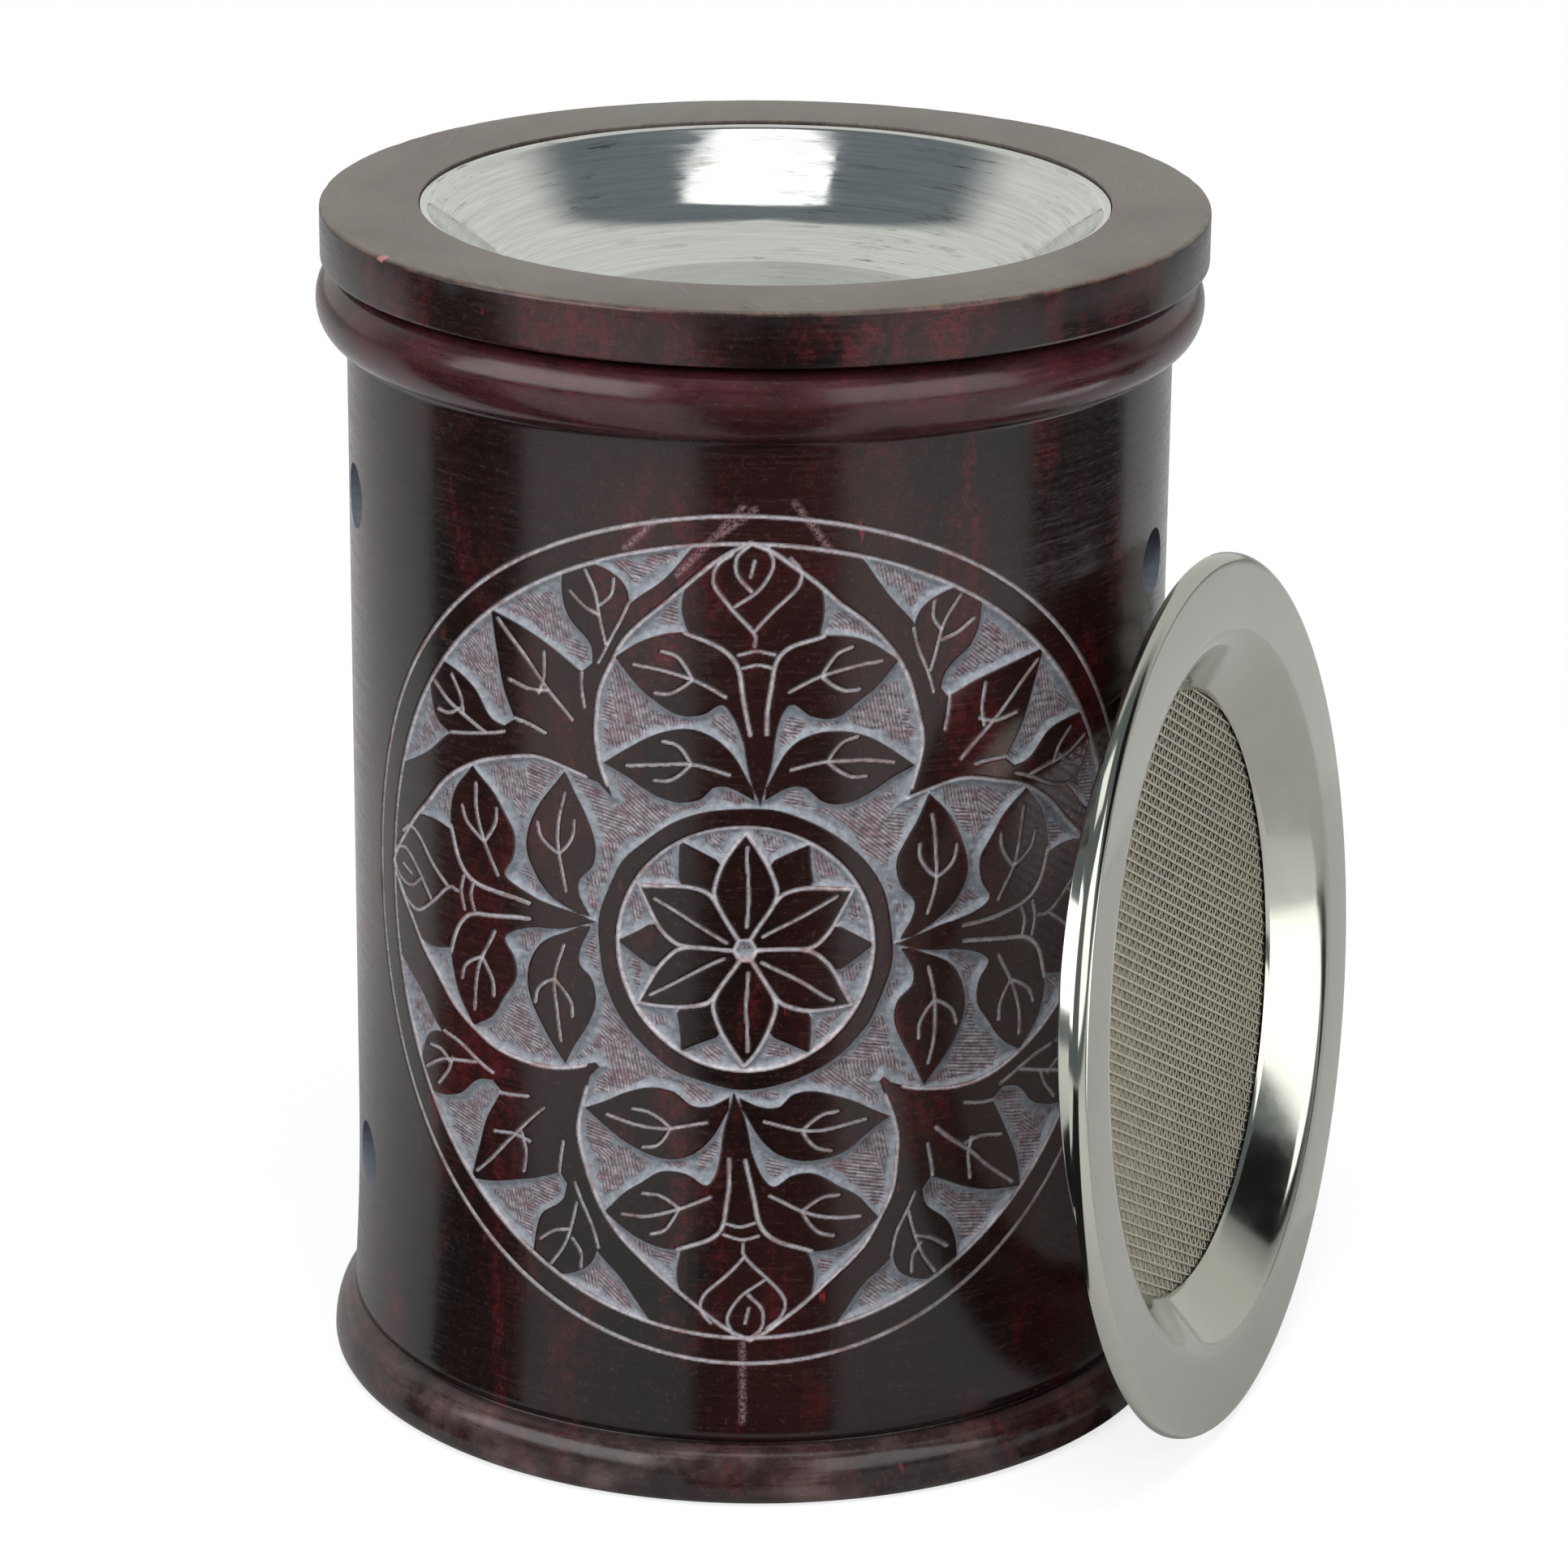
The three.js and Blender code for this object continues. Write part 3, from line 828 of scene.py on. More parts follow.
def soapstone():
    """Dyed stone of the body, bare where it is carved or drilled."""
    material, tree = blank("dyed_soapstone")
    spot = place_of(tree)
    marks = turning_marks(tree)
    height = after("SeparateXYZ", {0: spot}, out=2)
    rim = (BODY_HEIGHT - 2 * BEAD_SIZE[1]) * MM
    blot = ramp(noise(spot, 160, detail=5), 0.3, 0.6, 0.2, 0.7)
    on_bead = times(ramp(height, rim - 0.5 * MM, rim + MM), blot)
    dyed = mix(on_bead, dyed_stone(tree), colour(66, 28, 34))
    # Lighter soft clouds on the foot: partly real scuffs, partly painted sheen along the foot's round
    foot_scuff_and_sheen_share = ramp(noise(spot, 190, detail=5, roughness=0.6), 0.38, 0.74, 0.04, 0.46)
    low = ramp(height, FOOT_SIZE[1] * MM, GROOVE_HEIGHTS[2] * MM, 1, 0)
    foot_scuffed_and_sheen = mix(times(low, foot_scuff_and_sheen_share), dyed, colour(112, 92, 90))
    lined = lathe_lined(foot_scuffed_and_sheen, marks)

    flat = attribute(tree, "flat", out=1)
    chalk = noise(flat, 1.3, detail=6, roughness=0.78)
    powder = ramp(chalk, 0.3, 0.7)
    hatch = hatching(flat)
    pale = mix(ramp(chalk, 0.34, 0.66), colour(90, 83, 88), colour(152, 145, 151))
    dark = times(ramp(hatch, 0.1, 0.6, 0.95, 0), ramp(chalk, 0.3, 0.6, 1, 0.55))
    ground = mix(dark, pale, colour(62, 52, 55))
    blush = ramp(noise(flat, 0.5, detail=6, roughness=0.75), 0.47, 0.68, 0, 0.7)
    ground = mix(blush, ground, colour(98, 66, 70))
    bevel = mix(powder, colour(91, 93, 99), colour(131, 135, 142))
    width = ramp(noise(flat, 0.4, detail=2), 0.36, 0.64, 0.18, 0.7)
    level = ramp(attribute(tree, "inset"), width, calc("ADD", width, 0.14))
    sunk = attribute(tree, "ground")
    surface = mix(ramp(sunk, 0.02, 0.2), lined, mix(level, bevel, ground))

    line = attribute(tree, "line")
    broken = ramp(noise(flat, 1.7, detail=3), 0.28, 0.42, 0.6, 1)
    cut = mix(powder, colour(139, 133, 138), colour(190, 185, 189))
    stained = ramp(noise(flat, 0.28, roughness=0.7), 0.52, 0.62, 0, 0.6)
    cut = mix(stained, cut, colour(136, 98, 92))
    surface = mix(times(line, broken), surface, cut)
    strokes = ramp(noise(flat, 3.2, roughness=0.8), 0.4, 0.58, 0, 0.8)
    rubbed = times(attribute(tree, "scratch"), strokes)
    surface = mix(rubbed, surface, colour(134, 104, 112))
    drilled = attribute(tree, "drilled")
    bored = mix(chalk, colour(60, 64, 74), colour(118, 122, 134))

    bare = calc("MAXIMUM", calc("MAXIMUM", sunk, line), drilled)
    polish = ramp(marks, 0.36, 0.66, 0.12, 0.3)
    rough = bump(times(hatch, level), 0.07, 0.8)
    return dressed(material, {
        "Base Color": mix(drilled, surface, bored),
        "Specular IOR Level": 0.42,
        "Roughness": blend(bare, polish, 0.85),
        "Normal": bump(marks, 0.01, 0.5, rough),
    })


def lid_stone():
    """Dyed stone of the lid, sanded dull on top, worn along its edges and chipped at one spot."""
    material, tree = blank("sanded_soapstone")
    spot = place_of(tree)
    marks = turning_marks(tree)
    side = lathe_lined(dyed_stone(tree, aside=0.2), marks)
    rings = noise(ring_place(tree, 1.8, 4, LID_ASIDE), 1, roughness=0.65)
    swirl = noise(ring_place(tree, 2.6, 9, SANDING_CENTRE), 1, roughness=0.65)
    sanding = blend(0.6, rings, swirl)
    top = mix(ramp(sanding, 0.32, 0.68), colour(58, 53, 48), colour(88, 83, 75))
    stained = ramp(noise(spot, 55), 0.42, 0.68, 0, 0.5)
    top = mix(stained, top, colour(58, 44, 39))
    flat = attribute(tree, "top")
    rub = ramp(noise(spot, 380, detail=5, roughness=0.7), 0.44, 0.62, 0, 0.8)
    worn = times(attribute(tree, "worn"), rub)
    surface = mix(worn, mix(flat, side, top), colour(98, 74, 62))

    x, y = LID_RADIUS * heading(CHIP_AZIMUTH)
    middle = (x + LID_ASIDE, y, LID_TOP)
    gap = vector("DISTANCE", spot, [v * MM for v in middle], out=1)
    ragged = ramp(noise(spot, 1400, detail=3), 0.3, 0.7, 0.6, 1.4)
    chip = ramp(times(gap, ragged), 0.6 * CHIP_SIZE * MM, CHIP_SIZE * MM, 1, 0)
    polish = ramp(marks, 0.36, 0.66, 0.16, 0.32)
    dull = ramp(sanding, 0.38, 0.62, 0.32, 0.46)
    sanded = bump(times(sanding, flat), 0.025, 0.6)
    return dressed(material, {
        "Base Color": mix(chip, surface, colour(140, 86, 92)),
        "Specular IOR Level": 0.45,
        "Roughness": blend(flat, polish, dull),
        "Normal": bump(marks, 0.01, 0.5, sanded),
    })


def spun_aluminium():
    """Spun sheet with turning lines, dull streaks and fine scratches."""
    material, tree = blank("spun_aluminium")
    lines = noise(ring_place(tree, 5, 2.5, LID_ASIDE), 1, detail=5, roughness=0.75)
    around = ring_place(tree, 1.6, 3.2, LID_ASIDE)
    streak = noise(around, 1, detail=6, roughness=0.72, distortion=0.3)
    score = noise(ring_place(tree, 2.6, 3.4, LID_ASIDE), 1, detail=3, roughness=0.6)
    cloud = noise(place_of(tree), 75, detail=5, roughness=0.65)
    bright = mix(ramp(lines, 0.3, 0.7), colour(204, 206, 203), colour(228, 229, 226))
    stain = times(ramp(streak, 0.54, 0.68), ramp(cloud, 0.42, 0.58))
    metal = mix(times(stain, 0.6), bright, colour(136, 133, 126))
    scored = times(ramp(score, 0.62, 0.68), ramp(cloud, 0.48, 0.6, 0, 0.7))
    return dressed(material, {
        "Base Color": mix(scored, metal, colour(78, 74, 70)),
        "Metallic": 1,
        "Roughness": ramp(streak, 0.35, 0.75, 0.05, 0.17),
        "Normal": bump(lines, 0.002, 0.3),
    })


def polished_steel():
    """Pressed steel with a bright polish and faint handling marks."""
    material, tree = blank("polished_steel")
    haze = noise(place_of(tree), 130, detail=6, roughness=0.65)
    return dressed(material, {
        "Base Color": mix(haze, colour(176, 176, 166), colour(190, 190, 180)),
        "Metallic": 1,
        "Roughness": ramp(haze, 0.3, 0.75, 0.08, 0.16),
        "Normal": bump(noise(place_of(tree), 900), 0.002, 0.15),
    })


def woven_wire():
    """Steel wire, the straight wires painted lighter as painted highlight and the crossing wires darker as
    painted shade.
    """
    material, tree = blank("woven_wire")
    drawn = noise(place_of(tree), 500)
    across = mix(ramp(drawn, 0.35, 0.65), colour(128, 124, 111), colour(148, 144, 131))
    return dressed(material, {
        # Lighter colour of the straight wires is painted highlight; the darker crossing wires are painted
        # shade
        "Base Color": mix(attribute(tree, "straight"), across, colour(200, 195, 180)),
        "Metallic": 1,
        "Roughness": ramp(drawn, 0.3, 0.7, 0.36, 0.48),
    })


def thin_aluminium():
    """Drawn foil of the tea light."""
    material, tree = blank("thin_aluminium")
    drawn = noise(place_of(tree, (40, 40, 900)), 1)
    return dressed(material, {
        "Base Color": mix(drawn, colour(196, 197, 198), colour(226, 227, 228)),
        "Metallic": 1,
        "Roughness": ramp(drawn, 0.3, 0.7, 0.2, 0.32),
        "Normal": bump(drawn, 0.02, 0.3),
    })


def paraffin():
    material, tree = blank("paraffin")
    cloud = noise(place_of(tree), 180, detail=5)
    return dressed(material, {
        "Base Color": mix(cloud, colour(226, 220, 205), colour(242, 238, 228)),
        "Roughness": ramp(cloud, 0.3, 0.7, 0.38, 0.5),
        "Subsurface Weight": 0.3,
        "Subsurface Radius": (0.004, 0.003, 0.002),
        "Subsurface Scale": 1,
        "Normal": bump(cloud, 0.15, 0.3),
    })


def cotton():
    material, tree = blank("waxed_cotton")
    fibre = noise(place_of(tree, (1, 1, 0.4)), 2600)
    return dressed(material, {
        "Base Color": mix(fibre, colour(196, 186, 166), colour(236, 230, 214)),
        "Roughness": 0.85,
        "Normal": bump(fibre, 0.08, 0.6),
    })


# Stone body

def body_profile():
    """Half section of the body, from the middle of its underside round to the middle of its floor."""
    neck = WALL_RADIUS + FLARE_PROUD
    foot = arc((neck, FOOT_TUCK[1]), FOOT_SIZE, 0, 78, 12)
    tuck = arc((neck + FOOT_SIZE[0] - FOOT_TUCK[0], FOOT_TUCK[1]), FOOT_TUCK, -90, 0, 4)
    low, middle, high = GROOVE_HEIGHTS
    groove = rounded([(neck, low), (neck - GROOVE_DEPTH, middle, 0.2), (neck, high)])
    bead_centre = (WALL_RADIUS, BODY_HEIGHT - BEAD_SIZE[1])
    bead = arc(bead_centre, BEAD_SIZE, -80, 90, 24)
    wall_top = BODY_HEIGHT - 2 * BEAD_SIZE[1] - BEAD_FILLET
    heights = np.arange(high + WALL_ROW, wall_top, WALL_ROW)
    flare = np.clip((FLARE_TOP - heights) / (FLARE_TOP - high), 0, 1)
    wall = np.stack([WALL_RADIUS + FLARE_PROUD * flare ** 2, heights], 1)
    cove = [(WALL_RADIUS, wall_top), (WALL_RADIUS + 0.12, wall_top + 0.3)]
    inside = rounded([
        (WALL_RADIUS, BODY_HEIGHT),
        (BORE_RADIUS, BODY_HEIGHT, MOUTH_ROUND),
        (BORE_RADIUS, CHAMBER_FLOOR, CHAMBER_ROUND),
        (0, CHAMBER_FLOOR),
    ])
    return np.vstack([[(0, 0)], tuck, foot[1:], groove[1:], wall, cove, bead, inside[1:]])


def drill_vents(piece):
    """Cuts the vents through the wall."""
    middle = (WALL_RADIUS + BORE_RADIUS) / 2
    low, high = -DRILL_REACH, DRILL_REACH
    profile = [(0, low), (VENT_RADIUS, low), (VENT_RADIUS, high), (0, high)]
    drills = []
    for azimuth, height in VENTS:
        drill = lathe("drill", profile, 40)
        turn = Matrix.Rotation(math.radians(azimuth), 4, "Z")
        lay = Matrix.Translation((middle * MM, 0, height * MM)) @ Matrix.Rotation(math.pi / 2, 4, "Y")
        drill.data.transform(turn @ lay)
        cut = piece.modifiers.new("vent", "BOOLEAN")
        cut.object = drill
        cut.solver = "EXACT"
        drills.append(drill)
    shaped = piece.evaluated_get(bpy.context.evaluated_depsgraph_get())
    mesh = bpy.data.meshes.new_from_object(shaped)
    piece.modifiers.clear()
    piece.data = mesh
    for drill in drills:
        bpy.data.objects.remove(drill)


def ornament_place(rows):
    """Where points of the wall lie in the ornament, across its chords."""
    azimuth = np.degrees(np.arctan2(rows[:, 1], rows[:, 0])) - ORNAMENT_AZIMUTH
    away = (azimuth + 180) % 360 - 180
    across = 2 * WALL_RADIUS * np.sin(np.radians(away) / 2)
    return np.stack([across, rows[:, 2] - ORNAMENT_HEIGHT], 1)


def refine_patch(piece):
    """Divides the wall finely where it is carved."""
    work = bmesh.new()
    work.from_mesh(piece.data)
    middles = np.array([face.calc_center_median() for face in work.faces]) / MM
    spots = ornament_place(middles)
    outside = np.hypot(middles[:, 0], middles[:, 1]) > WALL_RADIUS - 1
    near = np.hypot(*spots.T) < PATCH_RADIUS
    tail = (abs(spots[:, 0]) < TAIL_SIZE[0]) & (spots[:, 1] < 0) & (spots[:, 1] > -TAIL_SIZE[1])
    chosen = outside & (near | tail)
    edges = {edge for face, picked in zip(work.faces, chosen) if picked for edge in face.edges}
    bmesh.ops.subdivide_edges(work, edges=list(edges), cuts=PATCH_CUTS, use_grid_fill=True)
    work.to_mesh(piece.data)
    work.free()


def in_vents(middles):
    """1 for each face that lies on the inside of a vent."""
    found = np.zeros(len(middles))
    for azimuth, height in VENTS:
        along = np.array([*heading(azimuth), 0])
        apart = middles - np.array([0, 0, height])
        forward = apart @ along
        gap = np.linalg.norm(apart - forward[:, None] * along, axis=1)
        found[(gap < VENT_RADIUS + 0.01) & (forward > 0)] = 1
    return found


def stone_body():
    """Turned and drilled tumbler with the ornament cut into its wall."""
    piece = lathe("stone_body_carved", body_profile(), BODY_COLUMNS)
    drill_vents(piece)
    refine_patch(piece)
    mesh = piece.data
    rows = places(mesh)
    spots = ornament_place(rows)
    radius = np.hypot(rows[:, 0], rows[:, 1])
    front = (radius > WALL_RADIUS - 0.1) & (radius < WALL_RADIUS + FLARE_PROUD + 0.1)
    patch = np.flatnonzero(front & (np.hypot(*spots.T) < PATCH_RADIUS + PATCH_MARGIN))
    work = carve_ornament(spots[patch])
    ground = work.ground()
    inset = np.clip(work.inset / INSET_REACH, 0, 1)
    x, y = spots[patch].T
    strokes = np.sin(7.5 * (y + 0.3 * x) + 2 * np.sin(0.8 * x) + np.sin(1.9 * y))
    chisel = strokes * np.sin(0.9 * x + 0.7 * y)
    depth = CARVING_DEPTH * ground + CHISEL_DEPTH * chisel * (ground > 0.98)
    depth = np.maximum(depth, LINE_DEPTH * work.line)
    wall = np.maximum(radius[patch], WALL_RADIUS)
    rows[patch, :2] *= ((wall - depth) / radius[patch])[:, None]
    move(mesh, rows)
    shares_cut = {"ground": ground, "inset": inset, "line": work.line, "scratch": work.scratch}
    for name, values in shares_cut.items():
        shares = np.zeros(len(rows))
        shares[patch] = values
        note(mesh, name, shares)
    flat = mesh.attributes.new("flat", "FLOAT_VECTOR", "POINT")
    flat.data.foreach_set("vector", np.column_stack([spots, 0 * radius]).astype(np.float32).ravel())
    middles = np.empty(3 * len(mesh.polygons))
    mesh.polygons.foreach_get("center", middles)
    note(mesh, "drilled", in_vents(middles.reshape(-1, 3) / MM), "FACE")
    finish(piece, soapstone(), "body", "stone_body", sharp=52)


# Lid ring and dish

def lid_ring():
    """Turned ring with a spigot below and a rebate and a sloping seat for the dish."""
    slope = math.radians(DISH_SLOPES[0])
    seat_drop = (DISH_SHEET + SEAT_PLAY) / math.cos(slope)
    seat_radius = DISH_MOUTH - (DISH_TOP - seat_drop - REBATE_FLOOR) / math.tan(slope)
    throat_top = REBATE_FLOOR - (seat_radius - THROAT_RADIUS) * math.tan(slope)
    bottom = LID_UNDERSIDE - SPIGOT_DEPTH
    corners = [
        (THROAT_RADIUS, (throat_top + bottom) / 2),
        (THROAT_RADIUS, bottom, 0.3),
        (SPIGOT_RADIUS, bottom, 0.3),
        (SPIGOT_RADIUS, LID_UNDERSIDE, 0.15),
        (LID_RADIUS, LID_UNDERSIDE, LID_ARRIS),
        (LID_RADIUS, (LID_UNDERSIDE + LID_TOP) / 2, 0.01),
        (LID_RADIUS, LID_TOP, LID_ARRIS),
        ((LID_RADIUS + REBATE_RADIUS) / 2, LID_TOP, 0.01),
        (REBATE_RADIUS, LID_TOP, 0.15),
        (REBATE_RADIUS, REBATE_FLOOR, 0.1),
        (seat_radius, REBATE_FLOOR, 0.1),
        (THROAT_RADIUS, throat_top, 0.3),
    ]
    piece = ring("lid_ring_turned", corners, 480)
    mesh = piece.data
    rows = places(mesh)
    radius = np.hypot(rows[:, 0], rows[:, 1])
    angle = np.arctan2(rows[:, 1], rows[:, 0])
    edge = np.hypot(np.maximum(LID_RADIUS - radius, 0), np.maximum(LID_TOP - rows[:, 2], 0))
    worn = np.clip(1 - edge / LID_ARRIS, 0, 1)
    nicks = np.clip(np.sin(9 * angle) * np.sin(23 * angle + 1) * np.sin(41 * angle + 2), 0, 1)
    rows[:, 2] -= NICK_DEPTHS[1] * worn * nicks
    rows[:, :2] *= (1 - NICK_DEPTHS[0] * worn * nicks / radius)[:, None]
    rows[:, 0] += LID_ASIDE
    move(mesh, rows)
    note(mesh, "top", np.clip(1 + (rows[:, 2] - LID_TOP) / SANDED_DEPTH, 0, 1))
    note(mesh, "worn", worn)
    finish(piece, lid_stone(), "lid", "lid_ring")


def dish():
    """Spun dish: a plain cone down to the bend, then a curve that runs out to the flat floor."""
    steep, shallow = (math.tan(math.radians(slope)) for slope in DISH_SLOPES)
    mouth = np.array([DISH_MOUTH, DISH_TOP])
    bend = mouth - (DISH_MOUTH - DISH_BEND_RADIUS) * np.array([1, steep])
    end = np.array([DISH_FLOOR_RADIUS, DISH_TOP - DISH_DEPTH])
    run = bend - end
    reach = (run[1] - shallow * run[0]) / (steep - shallow)
    turn = bend - reach * np.array([1, steep])
    curved = bent(bend, turn, end, 24)
    edge = rounded([(DISH_RADIUS, DISH_TOP), (DISH_MOUTH, DISH_TOP, DISH_LIP), tuple(bend)], 6)
    line = np.vstack([edge[:-1], curved, [(DISH_FLOOR_RADIUS / 2, end[1]), (0, end[1])]])
    under = offset(line, DISH_SHEET)
    under[-1, 0] = 0
    piece = lathe("dish_spun", np.vstack([line[::-1], under]), 240)
    piece.data.transform(Matrix.Translation((LID_ASIDE * MM, 0, 0)))
    finish(piece, spun_aluminium(), "dish", "dish")


# Sieve

def sieve_matrix():
    """From the sieve's own frame, in which it lies flat with its front up, to where it leans."""
    lean = math.radians(SIEVE_LEAN)
    reach = SIEVE_RADIUS * math.cos(lean) + SIEVE_RIM_DEPTH * math.sin(lean)
    back = RETAINER_RADIUS * math.sin(lean) + RETAINER_DEPTHS[2] * math.cos(lean)
    distance = WALL_RADIUS + SIEVE_WALL_GAP + back
    turn = Matrix.Rotation(math.radians(SIEVE_AZIMUTH + 90), 4, "Z")
    lay = Matrix.Translation((0, -distance * MM, reach * MM))
    return turn @ lay @ Matrix.Rotation(math.pi / 2 - lean, 4, "X")


def sieve_frame(matrix, material):
    """Pressed ring: a rolled rim, a flat flange and a cone that runs in to the mesh."""
    rim = arc((SIEVE_RADIUS - SIEVE_RIM_ROUND, -SIEVE_RIM_ROUND), (SIEVE_RIM_ROUND,) * 2, 0, 90, 10)
    corners = [
        tuple(rim[-1]),
        (FLANGE_RADIUS, 0, FLANGE_BEND),
        (BOWL_RADIUS + BOWL_LIP[0], BOWL_LIP[1] - BOWL_DEPTH, 0.25),
        (BOWL_RADIUS, -BOWL_DEPTH),
    ]
    line = np.vstack([[(SIEVE_RADIUS, -SIEVE_RIM_DEPTH)], rim, rounded(corners, 14)[1:]])
    piece = lathe("sieve_frame_pressed", sheet(line, SIEVE_SHEET), 240, closed=True)
    piece.data.transform(matrix)
    finish(piece, material, "sieve", "sieve_frame", sharp=60)


def sieve_retaining_ring(matrix, material):
    """Rolled ring that laps the cone from behind, with a ledge under the mesh."""
    top, shelf, back = (-depth for depth in RETAINER_DEPTHS)
    inside = RETAINER_RADIUS - RETAINER_SHEET
    corners = [
        (inside - RETAINER_LEDGE / 2, back),
        (RETAINER_RADIUS, back, 0.25),
        (RETAINER_RADIUS, top, 0.1),
        (inside, top, 0.1),
        (inside, shelf, 0.1),
        (inside - RETAINER_LEDGE, shelf, 0.1),
        (inside - RETAINER_LEDGE, back, 0.1),
    ]
    piece = ring("sieve_retaining_ring_rolled", corners, 160)
    piece.data.transform(matrix)
    finish(piece, material, "sieve", "sieve_retaining_ring")


def sieve_mesh(matrix):
    """Close weave of straight wires one way and crimped wires packed across them."""
    bars = []
    straight = []
    for lay, (radius, crimp, lift) in enumerate(zip(WIRE_RADII, WEAVE_CRIMPS, WEAVE_LIFTS)):
        pitch, across = WEAVE_PITCHES[lay], WEAVE_PITCHES[1 - lay]
        count = int(NET_RADIUS / pitch)
        for i in range(-count, count + 1):
            aside = i * pitch
            half = math.sqrt(NET_RADIUS ** 2 - aside ** 2) - WIRE_END_GAP
            steps = max(int(2 * half / across * 4), 4) if crimp else 2
            along = np.linspace(-half, half, steps)
            wave = lift + (-1) ** (i + lay) * crimp * np.cos(math.pi * along / across)
            level = np.full_like(along, aside)
            pair = (along, level) if lay == 0 else (level, along)
            bars.append(tube(np.stack([*pair, wave], 1), radius, 6))
            straight += [1 - lay] * len(bars[-1][0])
    piece = bundle("sieve_mesh_woven", bars)
    # Marks the straight wires, which the wire material paints lighter as painted highlight
    note(piece.data, "straight", straight)
    turn = Matrix.Rotation(math.radians(WEAVE_ANGLE), 4, "Z")
    piece.data.transform(matrix @ Matrix.Translation((0, 0, -NET_DEPTH * MM)) @ turn)
    finish(piece, woven_wire(), "sieve", "sieve_mesh", sharp=80)


# Tea light

def tealight_cup(material):
    """Drawn foil cup with a stepped foot, a fluted wall and a proud lip."""
    inner = CUP_RADIUS - CUP_SHEET
    top = CUP_BOTTOM + CUP_HEIGHT
    line = rounded([
        (0, CUP_BOTTOM),
        (CUP_RADIUS - 4, CUP_BOTTOM, 0.3),
        (CUP_RADIUS - 3.6, CUP_BOTTOM + 0.25, 0.2),
        (CUP_RADIUS - 0.4, CUP_BOTTOM + 0.25, 0.4),
        (CUP_RADIUS - 0.3, top - 1, 0.2),
        (CUP_RADIUS, top - 0.8, 0.2),
        (CUP_RADIUS, top, 0.15),
        (inner, top, 0.15),
        (inner - 0.1, CUP_BOTTOM + CUP_SHEET + 0.1, 0.3),
        (0, CUP_BOTTOM + CUP_SHEET),
    ])
    piece = lathe("tealight_cup_drawn", line, 180)
    rows = places(piece.data)
    angle = np.arctan2(rows[:, 1], rows[:, 0])
    height = rows[:, 2]
    upright_share = np.clip((height - CUP_BOTTOM - 1) / 3, 0, 1) * np.clip((top - 1 - height) / 2, 0, 1)
    flute = 1 - FLUTE_SHARE * upright_share * (1 + np.sin(FLUTES * angle)) / 2
    rows[:, :2] *= flute[:, None]
    move(piece.data, rows)
    finish(piece, material, "tealight", "tealight_cup")


def tealight_wax():
    """Cast wax with a hollow round the wick and room for the sustainer below."""
    outer = CUP_RADIUS - CUP_SHEET - 0.3
    base = CUP_BOTTOM + WAX_BOTTOM
    crown = CUP_BOTTOM + WAX_TOP
    hole = WICK_RADIUS + 0.25
    socket_radius = SUSTAINER_RADIUS + WAX_PLAY
    socket_top = base + SUSTAINER_SHEET + WAX_PLAY
    neck_radius = NECK_RADIUS + WAX_PLAY
    neck_top = CUP_BOTTOM + NECK_TOP + WAX_PLAY
    corners = [
        (socket_radius, base),
        (outer, base, 0.2),
        (outer, crown, 0.35),
        (outer - 1.2, crown - 0.35, 0.6),
        (6, crown - 0.45, 2),
        (2.2, crown - 0.15, 0.8),
        (hole, crown, 0.2),
        (hole, neck_top, 0.05),
        (neck_radius, neck_top, 0.05),
        (neck_radius, socket_top, 0.05),
        (socket_radius, socket_top, 0.05),
    ]
    piece = ring("tealight_wax_cast", corners, 120)
    finish(piece, paraffin(), "tealight", "tealight_wax")


def wick_sustainer(material):
    """Pressed disc with a neck that holds the wick."""
    base = CUP_BOTTOM + WAX_BOTTOM
    disc_top = base + SUSTAINER_SHEET
    neck_top = CUP_BOTTOM + NECK_TOP
    inside = WICK_RADIUS + 0.2
    corners = [
        ((inside + SUSTAINER_RADIUS) / 2, base),
        (SUSTAINER_RADIUS, base, 0.1),
        (SUSTAINER_RADIUS, disc_top, 0.1),
        (NECK_RADIUS, disc_top, 0.3),
        (NECK_RADIUS, neck_top, 0.1),
        (inside, neck_top, 0.1),
        (inside, base, 0.1),
    ]
    piece = ring("wick_sustainer_pressed", corners, 80)
    finish(piece, material, "tealight", "wick_sustainer")


def tealight_wick():
    """Strands twisted together."""
    heights = np.linspace(CUP_BOTTOM + WAX_BOTTOM, CUP_BOTTOM + WICK_TOP, 70)
    bars = []
    for strand in range(WICK_STRANDS):
        angle = 2 * math.pi * strand / WICK_STRANDS + heights * WICK_TWIST
        path = np.stack([STRAND_ASIDE * np.cos(angle), STRAND_ASIDE * np.sin(angle), heights], 1)
        bars.append(tube(path, STRAND_RADIUS, 8))
    piece = bundle("tealight_wick_twisted", bars)
    finish(piece, cotton(), "tealight", "tealight_wick", sharp=70)


# Stage

def seen_directly(tree):
    """1 for rays that come from the camera, straight or through a clear piece."""
    rays = add(tree, "LightPath", {}).node.outputs
    return calc("MAXIMUM", rays["Is Camera Ray"], rays["Is Transmission Ray"])


